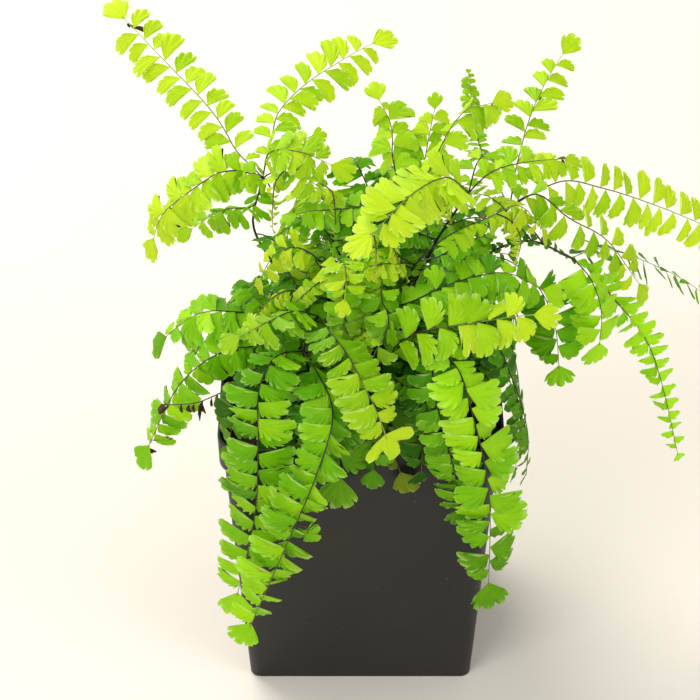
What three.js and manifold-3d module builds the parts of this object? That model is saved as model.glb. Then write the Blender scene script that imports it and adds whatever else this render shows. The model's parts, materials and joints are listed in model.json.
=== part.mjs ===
// A maidenhair fern growing in a square plastic nursery pot.
// Millimetres, +Z up. The origin is the middle of the underside of the pot, and -Y is the front.
// Each frond is a dark wiry stipe, which stands in the potting soil, and a green body:
// the fingers that leave its fork, each an arched rib whose blade is cut into leaflets.
import * as THREE from 'three';
import { mergeVertices } from 'three/addons/utils/BufferGeometryUtils.js';
import Module from 'manifold-3d';

// The pot, 4.5 inches square and 5 inches deep
const POT_TOP = 114.3; // across the flats of the rim
const POT_HEIGHT = 127;
const RIM_HEIGHT = 13;
const RIM_STEP = 2.4; // how far the rim stands out from the wall
const POT_BASE = 93; // across the foot
const WALL = 1.3;
const FLOOR = 2;
const CORNER_TOP = 9; // radius of the upright corners at the top of the wall
const CORNER_BASE = 7;
const CORNER_STEPS = 3;
const DRAIN_RADIUS = 4.5;
const DRAIN_OFFSET = 27; // of the four drain holes, from the middle along X and along Y
const DRAIN_SIDES = 8;

// The soil, a low mound with soft lumps
const SOIL_TOP = 112;
const SOIL_MOUND = 5;
const SOIL_LUMP = 1.2;
const CLEARANCE = 0.3; // between touching pieces
const HOLE_DEPTH = 14;
const HOLE_RADIUS = 1.4; // at its bottom
const HOLE_MOUTH = 3;
const HOLE_SIDES = 4;

// The fronds
const STIPE_RADIUS = 0.75;
const STIPE_SIDES = 4;
const STIPE_STEP = 14; // from one bend of a stipe to the next
const KNUCKLE = 1.1; // radius of the small swelling at the fork
const RIB_HALF = 0.6; // half of the rib's width
const RIB_DEPTH = 0.5; // half of its thickness
const BLADE_DEPTH = 0.32; // half of the blade's thickness at a leaflet's edge
const BARE_STALK = 9; // the length of a finger without leaflets, at its fork
const PITCH_RATIO = 0.72; // from one leaflet to the next on a side, in leaflet lengths
const LEAFLET_LEAN = THREE.MathUtils.degToRad(12); // towards the finger's tip
const LEAFLET_DROOP = THREE.MathUtils.degToRad(9); // below the rib
const TIP_LEAFLET = 0.62; // the length of the one at the tip, in leaflet lengths
const LIGHT = [0, -0.82, 0.57]; // the way that leaflets turn to the light, to the front and up

// A leaflet's outline from its root on the rib to the next one's,
// as [share of its length out, share of its pitch on]. Large leaflets have the first one.
const LARGE_LEAFLET = [
  [1, 0.03],
  [0.95, 0.88],
  [0.32, 0.74],
];
const SMALL_LEAFLET = [
  [1.02, 0.08],
  [0.9, 0.88],
];
const LARGE = 12.5; // the least length of a large leaflet

const COLOURS = {
  pot: { color: 0x26251f, roughness: 0.62, metalness: 0 },
  soil: { color: 0x3a2a1e, roughness: 0.98, metalness: 0 },
  stipe: { color: 0x2a1a18, roughness: 0.35, metalness: 0 },
  young: { color: 0xa6d82a, roughness: 0.55, metalness: 0 },
  leaf: { color: 0x6fbe1c, roughness: 0.55, metalness: 0 },
  old: { color: 0x4f9422, roughness: 0.6, metalness: 0 },
  dry: { color: 0x6b4a32, roughness: 0.85, metalness: 0 },
};

// The fronds that the picture shows best. route is the way of a finger's rib from the fork,
// leaf the length of its largest leaflets, pitch their spacing on a side where it isn't the usual one,
// bare the length of its stalk, turn how far it turns to the light, from 0 to 1, and face the way
// that a hanging finger faces where it isn't the way that it runs.
const SHOWN_FRONDS = [
  {
    name: 'rear_left',
    colour: 'young',
    root: [-16, 12],
    stipe: [[-24, 10, 150], [-37, 16, 170], [-44, 26, 181]],
    fork: [-40, 38, 195],
    fingers: [
      { route: [[-50, 51, 204], [-65, 65, 216], [-82, 79, 228], [-101, 94, 242]], leaf: 11.5 },
      { route: [[-38, 54, 209], [-25, 70, 219], [-6, 82, 227], [6, 90, 230]], leaf: 10.5 },
      { route: [[-35, 34, 208], [-24, 28, 213], [-11, 24, 209]], leaf: 12, turn: 0.3, bare: 6 },
      { route: [[-34, 31, 203], [-24, 22, 206], [-13, 15, 201]], leaf: 8.5, turn: 0.3 },
      {
        route: [[-50, 32, 200], [-66, 28, 196], [-80, 26, 186], [-85, 25, 173]],
        leaf: 12.5, turn: 0.3,
      },
      { route: [[-44, 20, 197], [-55, 9, 198], [-68, 3, 192]], leaf: 8.5 },
    ],
  },
  {
    name: 'rear_right',
    colour: 'young',
    root: [18, 10],
    stipe: [[28, 10, 150], [46, 14, 180]],
    fork: [60, 20, 192],
    fingers: [
      { route: [[70, 20, 198], [82, 14, 192], [98, 11, 181], [112, 10, 160]], leaf: 11, bare: 4 },
      {
        route: [[78, 32, 197], [99, 42, 188], [121, 51, 175], [143, 58, 161], [155, 61, 152]],
        leaf: 12, turn: 0.45,
      },
      { route: [[64, 36, 200], [68, 54, 209], [75, 67, 221], [84, 76, 233]], leaf: 9.5 },
      {
        route: [[56, 38, 192], [50, 58, 196], [47, 74, 205], [45, 86, 218]],
        leaf: 4.5, pitch: 5.6, bare: 32,
      },
    ],
  },
  {
    name: 'right_arch',
    colour: 'leaf',
    root: [24, -2],
    stipe: [[32, -3, 150], [46, -3, 180], [66, -2, 190]],
    fork: [84, -2, 182],
    fingers: [
      { route: [[91, -10, 178], [96, -13, 164], [96, -14, 148]], leaf: 12, bare: 3 },
      {
        route: [[95, 2, 172], [109, 6, 151], [120, 9, 130], [128, 10, 104], [135, 10, 75]],
        leaf: 6.5, pitch: 8, face: [0.35, -0.94],
      },
      {
        route: [[100, 20, 172], [118, 38, 155], [138, 52, 136], [153, 60, 119]],
        leaf: 5.5, pitch: 12, turn: 0.3,
      },
    ],
  },
  {
    name: 'front_left',
    colour: 'leaf',
    root: [-14, -12],
    stipe: [[-20, -20, 136], [-22, -28, 150]],
    fork: [-23, -36, 160],
    fingers: [
      {
        route: [[-33, -50, 167], [-39, -61, 160], [-40, -67, 138], [-42, -68, 104], [-50, -69, 63]],
        leaf: 14, face: [-0.1, -1],
      },
      {
        route: [[-16, -52, 158], [-11, -70, 152], [-17, -81, 134], [-28, -86, 106], [-46, -88, 58]],
        leaf: 13.5, face: [-0.1, -1],
      },
    ],
  },
  {
    name: 'front_crest',
    colour: 'young',
    root: [-6, -4],
    stipe: [[-14, -10, 145], [-20, -18, 158]],
    fork: [-17, -26, 170],
    fingers: [
      {
        route: [[-12, -42, 174], [-4, -57, 170], [5, -70, 157], [12, -79, 140]],
        leaf: 14.5, turn: 0.3,
      },
      { route: [[-26, -36, 178], [-36, -44, 179], [-48, -48, 175]], leaf: 11 },
    ],
  },
  {
    name: 'front_spray',
    colour: 'young',
    root: [4, -18],
    stipe: [[6, -26, 135]],
    fork: [8, -34, 152],
    fingers: [
      { route: [[19, -42, 167], [34, -48, 178], [52, -52, 186], [73, -55, 191]], leaf: 13, turn: 0.75 },
    ],
  },
  {
    name: 'front_right',
    colour: 'leaf',
    root: [16, -14],
    stipe: [[22, -22, 145]],
    fork: [28, -34, 165],
    fingers: [
      {
        route: [[36, -54, 167], [43, -68, 152], [50, -74, 118], [51, -76, 69]],
        leaf: 13, face: [0.2, -1],
      },
      {
        route: [[26, -50, 158], [31, -62, 145], [36, -66, 124], [39, -66, 104]],
        leaf: 9, face: [0, -1],
      },
      { route: [[50, -38, 166], [60, -44, 150], [66, -47, 128], [66, -48, 108]], leaf: 6.5, pitch: 6 },
    ],
  },
  {
    name: 'middle_right',
    colour: 'leaf',
    root: [8, -6],
    stipe: [[6, -10, 140]],
    fork: [6, -18, 166],
    fingers: [
      { route: [[18, -26, 177], [36, -28, 187], [56, -27, 191], [72, -26, 182]], leaf: 10, turn: 0.5 },
      {
        route: [[28, -14, 182], [52, -10, 188], [70, -10, 176], [78, -11, 156], [81, -12, 130]],
        leaf: 12, bare: 80, face: [0, -1],
      },
    ],
  },
  {
    name: 'upper_crest',
    colour: 'young',
    root: [10, 4],
    stipe: [[16, 2, 150], [30, -2, 190]],
    fork: [42, -8, 216],
    fingers: [
      { route: [[32, -22, 231], [18, -42, 235], [3, -60, 228]], leaf: 12.5, turn: 0.35, bare: 4 },
      { route: [[52, -9, 225], [64, -7, 229], [80, -4, 229]], leaf: 8, pitch: 8.5, turn: 0.2 },
      { route: [[45, 4, 222], [47, 16, 222], [48, 26, 214]], leaf: 8, bare: 5 },
    ],
  },
  {
    name: 'upper_right',
    colour: 'young',
    root: [14, -4],
    stipe: [[16, -4, 150], [20, -7, 178]],
    fork: [23, -26, 197],
    fingers: [
      { route: [[33, -26, 207], [46, -22, 215], [60, -18, 217], [71, -17, 204]], leaf: 9, turn: 0.3 },
    ],
  },
  {
    name: 'upper_middle',
    colour: 'young',
    root: [2, 10],
    stipe: [[4, 12, 150], [10, 12, 180]],
    fork: [16, 12, 200],
    fingers: [
      { route: [[26, 16, 212], [40, 24, 224], [53, 31, 233]], leaf: 9 },
      { route: [[15, 22, 207], [13, 36, 219], [7, 46, 228]], leaf: 8.5 },
      { route: [[23, 24, 208], [27, 36, 216], [30, 44, 225]], leaf: 6 },
    ],
  },
  {
    name: 'left_arch',
    colour: 'leaf',
    root: [-20, 0],
    stipe: [[-26, -4, 135]],
    fork: [-32, -10, 150],
    fingers: [
      { route: [[-46, -15, 162], [-62, -17, 166], [-74, -17, 158], [-81, -17, 150]], leaf: 10.5 },
      { route: [[-44, -26, 158], [-60, -36, 156], [-74, -40, 142], [-85, -44, 119]], leaf: 9 },
    ],
  },
  {
    name: 'centre_left',
    colour: 'young',
    root: [-10, 2],
    stipe: [[-12, -2, 150]],
    fork: [-14, -8, 182],
    fingers: [
      { route: [[-24, -12, 193], [-34, -14, 191], [-40, -15, 180]], leaf: 8.5, turn: 0.4 },
      { route: [[-8, -22, 192], [-6, -38, 192], [-8, -50, 184]], leaf: 10.5, turn: 0.4 },
    ],
  },
  {
    name: 'dry_tip',
    colour: 'dry',
    root: [-24, -14],
    stipe: [[-34, -26, 138]],
    fork: [-44, -36, 144],
    fingers: [{ route: [[-56, -44, 146], [-66, -49, 145], [-76, -52, 146]], leaf: 3.6, pitch: 4, bare: 12 }],
  },
];

// The rest of the plant is the same all round: fronds that leave at an azimuth, fork, arch and hang.
// The azimuth is in degrees from +X, and 90 is the back. radius and height place the fork,
// reach is how far its fingers go out from there, rise how far they climb and hang how far they fall.
const ROUND_FRONDS = [
  {
    name: 'back_right', azimuth: 56, colour: 'leaf', radius: 36, height: 150,
    reach: 46, rise: 10, hang: 54, leaf: 11.5,
  },
  {
    name: 'back_middle', azimuth: 90, colour: 'young', radius: 34, height: 162,
    reach: 58, rise: 12, hang: 58, leaf: 12,
  },
  {
    name: 'back_left', azimuth: 124, colour: 'leaf', radius: 31, height: 138,
    reach: 36, rise: 7, hang: 42, leaf: 10.5, count: 2, spread: 32,
  },
  {
    name: 'back_low', azimuth: 84, colour: 'old', radius: 26, height: 136,
    reach: 32, rise: 6, hang: 2, leaf: 10, count: 2,
  },
  {
    name: 'left_low', azimuth: 168, colour: 'old', radius: 34, height: 138,
    reach: 30, rise: 8, hang: 2, leaf: 9, count: 2,
  },
  {
    name: 'right_low', azimuth: 346, colour: 'old', radius: 38, height: 142,
    reach: 30, rise: 10, hang: 48, leaf: 7, count: 2,
  },
  {
    name: 'front_low_left', azimuth: 238, colour: 'old', radius: 30, height: 129,
    reach: 28, rise: 5, hang: 6, leaf: 9, count: 2,
  },
  {
    name: 'front_low_right', azimuth: 294, colour: 'old', radius: 30, height: 136,
    reach: 32, rise: 5, hang: 14, leaf: 9.5, count: 3,
  },
  {
    name: 'top_back', azimuth: 76, colour: 'leaf', radius: 28, height: 184,
    reach: 38, rise: 12, hang: 6, leaf: 9.5, count: 3,
  },
  {
    name: 'top_left', azimuth: 118, colour: 'leaf', radius: 19, height: 174,
    reach: 27, rise: 8, hang: 0, leaf: 8.5, count: 2, spread: 56,
  },
  {
    name: 'centre_low', azimuth: 262, colour: 'old', radius: 20, height: 140,
    reach: 30, rise: 6, hang: 0, leaf: 9, count: 1,
  },
  {
    name: 'centre_right', azimuth: 328, colour: 'leaf', radius: 22, height: 156,
    reach: 30, rise: 6, hang: 0, leaf: 9, count: 1,
  },
  {
    name: 'crown', azimuth: 187, colour: 'leaf', radius: 5, height: 182,
    reach: 28, rise: 8, hang: 2, leaf: 10, count: 2, spread: 226,
  },
];
const ROUND_COUNT = 3; // fingers of such a frond, where it says nothing else
const ROUND_PITCH = 11.8; // from one of its leaflets to the next on a side
const ROUND_GIVE = 3; // where two fronds meet, it gives way this many times as far as one above
const ROUND_SPREAD = 36; // degrees between its fingers, where it says nothing else
const ROUND_ROOT = 0.7; // how far out its stipe stands, as a share of the fork's radius

// How far the fronds are bent to get clear of each other
const KNOT_SPACING = 6.5; // between the points that are moved
const ROUNDS = 140;
const LONGEST_PUSH = 1.2;
const STALK_ROOM = 1.1; // half of the room that a stalk or stipe takes each way
const BLADE_ROOM = 1.7; // half of the room that a blade takes above and below
const FORK_ROOM = 20; // a frond's own strands may touch this near to their fork
const RIM_ROOM = 3; // between the pot and what hangs over it

const up = new THREE.Vector3(0, 0, 1);
const vector = (place) => new THREE.Vector3(...place);
const smooth = (points) => new THREE.CatmullRomCurve3(points, false, 'catmullrom', 0.5);

// One of the fronds all round, in the same form as those that the picture shows
function roundFrond(f) {
  const heading = (degrees) => vector([1, 0, 0]).applyAxisAngle(up, THREE.MathUtils.degToRad(degrees));
  const place = (from, way, out, z) => from.clone().addScaledVector(way, out).setZ(z).toArray();
  const centre = new THREE.Vector3();
  const outward = heading(f.azimuth);
  const root = place(centre, outward, f.radius * ROUND_ROOT, 0);
  const bend = place(centre, outward, f.radius * 0.8, (SOIL_TOP + f.height) / 2);
  const fork = place(centre, outward, f.radius, f.height);
  const fingers = [];
  const count = f.count ?? ROUND_COUNT;
  for (let i = 0; i < count; i += 1) {
    const way = heading(f.azimuth + (i - (count - 1) / 2) * (f.spread ?? ROUND_SPREAD));
    const route = [
      place(vector(fork), way, 0.3 * f.reach, f.height + f.rise),
      place(vector(fork), way, 0.66 * f.reach, f.height + 0.9 * f.rise),
      place(vector(fork), way, 0.9 * f.reach, f.height - 0.25 * f.hang),
      place(vector(fork), way, f.reach, f.height - f.hang),
    ];
    fingers.push({ route, leaf: f.leaf, pitch: ROUND_PITCH });
  }
  return {
    name: f.name,
    colour: f.colour,
    give: ROUND_GIVE,
    root: root.slice(0, 2),
    stipe: [bend],
    fork,
    fingers,
  };
}

// A strand is a stipe or a finger, as a smooth curve through evenly spaced knots
function strandsOf(fronds) {
  const strands = [];
  for (const frond of fronds) {
    const fork = vector(frond.fork);
    const foot = vector([...frond.root, SOIL_TOP + SOIL_MOUND]);
    strands.push({ frond, points: [foot, ...frond.stipe.map(vector), fork] });
    for (const finger of frond.fingers) {
      const bare = finger.bare ?? BARE_STALK;
      strands.push({ frond, finger, bare, points: [fork, ...finger.route.map(vector)] });
    }
  }
  for (const strand of strands) {
    const way = smooth(strand.points);
    strand.length = way.getLength();
    strand.last = Math.max(3, Math.round(strand.length / KNOT_SPACING));
    strand.step = strand.length / strand.last;
    strand.knots = way.getSpacedPoints(strand.last);
    strand.curve = smooth(strand.knots);
    strand.give = strand.frond.give ?? 1;
    strand.heading = strand.knots[strand.last].clone().sub(strand.knots[0]).setZ(0).normalize();
    if (strand.finger?.face) strand.heading = vector([...strand.finger.face, 0]).normalize();
  }
  return strands;
}

// The place at a distance along a strand, and its directions there: along it, across it and out of its blade
function frameAt(strand, distance) {
  const share = THREE.MathUtils.clamp(distance / strand.length, 0, 1);
  const place = strand.curve.getPoint(share);
  const along = strand.curve.getTangent(share);
  const across = strand.heading.clone().cross(up);
  across.addScaledVector(along, -across.dot(along)).normalize();
  const above = across.clone().cross(along);
  const turn = strand.finger?.turn ?? 0;
  if (turn > 0) {
    above.multiplyScalar(1 - turn).addScaledVector(vector(LIGHT), turn);
    above.addScaledVector(along, -above.dot(along)).normalize();
    across.copy(along).cross(above);
  }
  return { place, along, across, above };
}

// Leaflets are shorter at both ends of a finger
function leafletLength(strand, distance) {
  const share = (distance - strand.bare) / (strand.length - strand.bare);
  return strand.finger.leaf * Math.min(1, 0.72 + 1.4 * share, 0.66 + 1.6 * (1 - share));
}

// The box that a strand takes up round one of its knots, with half its size each way in room
function boxAt(strand, k) {
  const distance = k * strand.step;
  const leafy = strand.finger && distance > strand.bare - 3;
  const wide = leafy ? leafletLength(strand, Math.max(distance, strand.bare)) + 0.5 : STALK_ROOM;
  const room = [strand.step / 2 + 0.4, wide, leafy ? BLADE_ROOM : STALK_ROOM];
  const fromFork = strand.finger ? distance : strand.length - distance;
  return { ...frameAt(strand, distance), room, reach: Math.hypot(...room), strand, k, fromFork };
}

// The shortest push that gets box b clear of box a, or null where they are clear
function pushBetween(a, b) {
  const apart = b.place.clone().sub(a.place);
  const reachAlong = (box, axis) =>
    box.room[0] * Math.abs(box.along.dot(axis)) +
    box.room[1] * Math.abs(box.across.dot(axis)) +
    box.room[2] * Math.abs(box.above.dot(axis));
  const axes = [a.above, b.above, a.across, b.across];
  for (const p of [a.along, a.across, a.above]) {
    for (const q of [b.along, b.across, b.above]) {
      const square = p.clone().cross(q);
      if (square.length() > 0.05) axes.push(square.normalize());
    }
  }
  const sideways = axes.length; // a push along either strand doesn't part them
  axes.push(a.along, b.along);
  let least = Infinity;
  let push = null;
  for (const [i, axis] of axes.entries()) {
    const offset = apart.dot(axis);
    const depth = reachAlong(a, axis) + reachAlong(b, axis) - Math.abs(offset);
    if (depth <= 0) return null;
    if (i < sideways && depth < least) {
      least = depth;
      push = axis.clone().multiplyScalar(offset < 0 ? -depth : depth);
    }
  }
  return push;
}

// Lifts a finger off the soil and the rim, and keeps it outside the wall where it hangs
function pushFromPot(box) {
  const half = POT_TOP / 2 + RIM_ROOM;
  const push = new THREE.Vector3();
  for (const side of [-1, 1]) {
    const p = box.place.clone().addScaledVector(box.across, side * box.room[1]);
    const out = Math.max(Math.abs(p.x), Math.abs(p.y));
    if (p.z > POT_HEIGHT + RIM_ROOM || out > half) continue;
    const within = Math.max(Math.abs(box.place.x), Math.abs(box.place.y)) < half - 2 * RIM_ROOM;
    if (within) {
      const ground = out > half - 8 ? POT_HEIGHT : SOIL_TOP + SOIL_MOUND;
      push.z = Math.max(push.z, ground + RIM_ROOM - p.z);
    } else if (Math.abs(p.x) > Math.abs(p.y)) {
      push.x = Math.sign(p.x) * (half - Math.abs(p.x));
    } else {
      push.y = Math.sign(p.y) * (half - Math.abs(p.y));
    }
  }
  return push.clampLength(0, LONGEST_PUSH);
}

// Bends the strands clear of each other, a little in each round. Their roots and forks stay where they are.
function bendClear(strands) {
  for (let round = 0; round < ROUNDS; round += 1) {
    const boxes = [];
    for (const strand of strands) {
      strand.moves = strand.knots.map(() => new THREE.Vector3());
      for (let k = 0; k <= strand.last; k += 1) boxes.push(boxAt(strand, k));
    }
    for (const [i, a] of boxes.entries()) {
      if (a.strand.finger) a.strand.moves[a.k].add(pushFromPot(a));
      for (const b of boxes.slice(i + 1)) {
        const own = a.strand.frond === b.strand.frond && a.fromFork + b.fromFork < FORK_ROOM;
        if (own || a.strand === b.strand || a.place.distanceTo(b.place) > a.reach + b.reach) continue;
        const push = pushBetween(a, b);
        if (!push) continue;
        push.clampLength(0, LONGEST_PUSH);
        const share = a.strand.give / (a.strand.give + b.strand.give);
        a.strand.moves[a.k].addScaledVector(push, -share);
        b.strand.moves[b.k].addScaledVector(push, 1 - share);
      }
    }
    for (const strand of strands) moveKnots(strand);
  }
}

// Evens a strand's moves out along it and makes them, less near its fork and, for a stipe, its foot
function moveKnots(strand) {
  let moves = strand.moves.map((move) => move.clampLength(0, LONGEST_PUSH));
  for (let pass = 0; pass < 3; pass += 1) {
    moves = moves.map((move, k) => {
      const before = moves[Math.max(k - 1, 0)];
      const after = moves[Math.min(k + 1, strand.last)];
      return move.clone().multiplyScalar(2).add(before).add(after).multiplyScalar(0.25);
    });
  }
  moves.forEach((move, k) => {
    const hold = strand.finger ? Math.min(k, 3) / 3 : Math.min(k, strand.last - k, 2) / 2;
    strand.knots[k].addScaledVector(move, hold);
  });
}

const wasm = await Module();
wasm.setup();

// A closed geometry as a solid that can be joined and cut
function solid(geometry) {
  geometry.deleteAttribute('normal');
  geometry.deleteAttribute('uv');
  const merged = mergeVertices(geometry, 1e-4);
  const vertProperties = new Float32Array(merged.attributes.position.array);
  const triVerts = new Uint32Array(merged.index.array);
  return new wasm.Manifold(new wasm.Mesh({ numProp: 3, vertProperties, triVerts }));
}

function geometryOf(places, faces) {
  const geometry = new THREE.BufferGeometry().setFromPoints(places);
  return geometry.setIndex(faces.flat());
}

function meshOf(name, made, colour) {
  const { vertProperties, triVerts } = made.getMesh();
  const geometry = new THREE.BufferGeometry();
  geometry.setAttribute('position', new THREE.BufferAttribute(vertProperties, 3));
  geometry.setIndex(new THREE.BufferAttribute(triVerts, 1));
  geometry.computeVertexNormals();
  const mesh = new THREE.Mesh(geometry, new THREE.MeshStandardMaterial({ name: colour, ...COLOURS[colour] }));
  mesh.name = name;
  return mesh;
}

// A closed sheet: its corners moved up and down by their depth, and its open edges walled.
// Both faces have the same triangles, so that they keep their distance where the sheet is bent.
function thicken(corners, triangles) {
  const count = corners.length;
  const move = (side) => corners.map((c) => c.place.clone().addScaledVector(c.above, side * c.depth));
  const faces = [];
  const open = new Map();
  for (const [a, b, c] of triangles) {
    faces.push([a, b, c], [c + count, b + count, a + count]);
    for (const [p, q] of [[a, b], [b, c], [c, a]]) {
      if (!open.delete(`${q} ${p}`)) open.set(`${p} ${q}`, [p, q]);
    }
  }
  for (const [p, q] of open.values()) faces.push([q, p, p + count], [q, p + count, q + count]);
  return geometryOf([...move(1), ...move(-1)], faces);
}

// The distances along a finger of the corners on one side of its rib: those of the stalk, then each
// leaflet's root. The leaflets of the right side stand half a pitch further on than the left ones.
function ribDistances(strand, side, pitch, count) {
  const start = strand.bare + (side > 0 ? pitch / 2 : 0);
  const stalkSteps = Math.max(1, Math.round(strand.bare / (1.5 * KNOT_SPACING)));
  const distances = [];
  for (let i = 0; i < stalkSteps; i += 1) distances.push((start * i) / stalkSteps);
  for (let i = 0; i < count; i += 1) distances.push(start + i * pitch);
  distances.push(strand.length);
  return { distances, stalkSteps };
}

// A finger: its stalk and rib as a narrow strip, the leaflets cut down to it, and a fan at its tip
function fingerSolid(strand) {
  const { leaf } = strand.finger;
  const corners = [];
  const triangles = [];
  const corner = (distance, across, along, droop, depth) => {
    const frame = frameAt(strand, distance);
    frame.place.addScaledVector(frame.across, across);
    frame.place.addScaledVector(frame.along, along);
    frame.place.addScaledVector(frame.above, -droop);
    return corners.push({ place: frame.place, above: frame.above, depth }) - 1;
  };
  const outline = leaf >= LARGE ? LARGE_LEAFLET : SMALL_LEAFLET;
  const leafy = strand.length - strand.bare;
  const count = Math.max(3, Math.round(leafy / (strand.finger.pitch ?? leaf * PITCH_RATIO)));
  const pitch = leafy / (count + 0.5);

  const [left, right] = [-1, 1].map((side) => {
    const { distances, stalkSteps } = ribDistances(strand, side, pitch, count);
    const roots = distances.map((distance) => ({
      distance,
      corner: corner(distance, side * RIB_HALF, 0, 0, RIB_DEPTH),
    }));
    for (let i = stalkSteps; i < roots.length - 1; i += 1) {
      const step = roots[i + 1].distance - roots[i].distance;
      const long = leafletLength(strand, roots[i].distance + step / 2);
      const edge = outline.map(([out, on]) => {
        const reach = out * long;
        const across = side * reach * Math.cos(LEAFLET_LEAN);
        const along = reach * Math.sin(LEAFLET_LEAN);
        const droop = reach * Math.sin(LEAFLET_DROOP);
        return corner(roots[i].distance + on * step, across, along, droop, BLADE_DEPTH);
      });
      edge.push(roots[i + 1].corner);
      for (let j = 0; j < edge.length - 1; j += 1) {
        const pair = side > 0 ? [edge[j], edge[j + 1]] : [edge[j + 1], edge[j]];
        triangles.push([roots[i].corner, ...pair]);
      }
    }
    return roots;
  });

  // the rib, between its two rows of corners
  let i = 0;
  let j = 0;
  while (i < left.length - 1 || j < right.length - 1) {
    const leftNext = left[i + 1]?.distance ?? Infinity;
    const rightNext = right[j + 1]?.distance ?? Infinity;
    if (leftNext <= rightNext) {
      triangles.push([left[i].corner, right[j].corner, left[i + 1].corner]);
      i += 1;
    } else {
      triangles.push([left[i].corner, right[j].corner, right[j + 1].corner]);
      j += 1;
    }
  }

  // the leaflet at the tip
  const long = TIP_LEAFLET * leaf;
  const fan = [
    [0.62, 0.72],
    [0.24, 1.02],
    [-0.24, 1.02],
    [-0.62, 0.72],
  ].map(([across, along]) => corner(strand.length, across * long, along * long, 0, BLADE_DEPTH));
  fan.push(left[i].corner);
  for (let k = 0; k < fan.length - 1; k += 1) triangles.push([right[j].corner, fan[k], fan[k + 1]]);
  return solid(thicken(corners, triangles));
}

// An upright rod, which is cut away as a hole
function uprightRod(x, y, from, to, bottomRadius, topRadius, sides) {
  const rod = new THREE.CylinderGeometry(topRadius, bottomRadius, to - from, sides);
  rod.rotateX(Math.PI / 2);
  rod.translate(x, y, (from + to) / 2);
  return solid(rod);
}

// A stipe, from the bottom of its hole to just under the fork
function stipeSolid(strand) {
  const foot = vector([...strand.frond.root, SOIL_TOP - HOLE_DEPTH + CLEARANCE]);
  const rise = strand.curve.getSpacedPoints(Math.max(3, Math.round(strand.length / STIPE_STEP)));
  const fork = rise.pop();
  const along = fork.clone().sub(rise[rise.length - 1]).normalize();
  const way = smooth([foot, ...rise, fork.addScaledVector(along, -KNUCKLE - CLEARANCE)]);
  const section = new THREE.Shape().absarc(0, 0, STIPE_RADIUS, 0, 2 * Math.PI);
  const steps = Math.round(way.getLength() / STIPE_STEP);
  const options = { steps, curveSegments: STIPE_SIDES / 2, extrudePath: way, bevelEnabled: false };
  return solid(new THREE.ExtrudeGeometry(section, options));
}

// A ring of places on a square with round corners, anticlockwise from +X, at a height or on a surface
function roundedSquare(half, corner, height) {
  const ring = [];
  for (let quarter = 0; quarter < 4; quarter += 1) {
    for (let i = 0; i <= CORNER_STEPS; i += 1) {
      const turn = (Math.PI / 2) * (quarter + i / CORNER_STEPS);
      const x = (quarter % 3 === 0 ? 1 : -1) * (half - corner) + corner * Math.cos(turn);
      const y = (quarter < 2 ? 1 : -1) * (half - corner) + corner * Math.sin(turn);
      ring.push(vector([x, y, typeof height === 'function' ? height(x, y) : height]));
    }
  }
  return ring;
}

// A solid through rings, from a point under the first one to a point in the last one
function loft(start, rings, end) {
  const size = rings[0].length;
  const faces = [];
  const index = (ring, i) => 1 + ring * size + (i % size);
  for (let i = 0; i < size; i += 1) {
    faces.push([0, index(0, i + 1), index(0, i)]);
    for (let r = 0; r < rings.length - 1; r += 1) {
      faces.push([index(r, i), index(r, i + 1), index(r + 1, i + 1)]);
      faces.push([index(r, i), index(r + 1, i + 1), index(r + 1, i)]);
    }
    faces.push([index(rings.length - 1, i), index(rings.length - 1, i + 1), 1 + rings.length * size]);
  }
  return solid(geometryOf([start, ...rings.flat(), end], faces));
}

// Half of the wall's outer width, and its corner radius, at a height under the rim
function wallAt(z) {
  const share = z / (POT_HEIGHT - RIM_HEIGHT);
  return {
    half: THREE.MathUtils.lerp(POT_BASE, POT_TOP - 2 * RIM_STEP, share) / 2,
    corner: THREE.MathUtils.lerp(CORNER_BASE, CORNER_TOP, share),
  };
}

function potSolid() {
  const chamfer = 1.5;
  const edge = 0.6;
  const foot = wallAt(chamfer);
  const neckHeight = POT_HEIGHT - RIM_HEIGHT;
  const neck = wallAt(neckHeight);
  const floor = wallAt(FLOOR);
  const rim = POT_TOP / 2;
  const rimCorner = CORNER_TOP + RIM_STEP;
  const shell = loft(
    vector([0, 0, 0]),
    [
      roundedSquare(POT_BASE / 2 - chamfer, CORNER_BASE - 1, 0),
      roundedSquare(foot.half, foot.corner, chamfer),
      roundedSquare(neck.half, neck.corner, neckHeight),
      roundedSquare(rim - edge, rimCorner - edge, neckHeight),
      roundedSquare(rim, rimCorner, POT_HEIGHT - edge),
      roundedSquare(rim - edge, rimCorner - edge, POT_HEIGHT),
      roundedSquare(rim - edge - WALL, rimCorner - edge - WALL, POT_HEIGHT),
      roundedSquare(rim - edge - WALL, rimCorner - edge - WALL, neckHeight + WALL),
      roundedSquare(neck.half - WALL, neck.corner - WALL, neckHeight),
      roundedSquare(floor.half - WALL, floor.corner - WALL, FLOOR),
    ],
    vector([0, 0, FLOOR]),
  );
  const drains = [];
  for (const x of [-DRAIN_OFFSET, DRAIN_OFFSET]) {
    for (const y of [-DRAIN_OFFSET, DRAIN_OFFSET]) {
      drains.push(uprightRod(x, y, -1, FLOOR + 1, DRAIN_RADIUS, DRAIN_RADIUS, DRAIN_SIDES));
    }
  }
  return shell.subtract(wasm.Manifold.union(drains));
}

function soilHeight(x, y) {
  const out = Math.hypot(x, y) / wallAt(SOIL_TOP).half;
  const lumps = Math.sin(0.31 * x + 1.3) * Math.cos(0.27 * y) + 0.6 * Math.sin(0.53 * x - 0.47 * y);
  return SOIL_TOP + SOIL_MOUND * Math.max(0, 1 - out * out) + SOIL_LUMP * lumps;
}

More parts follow.
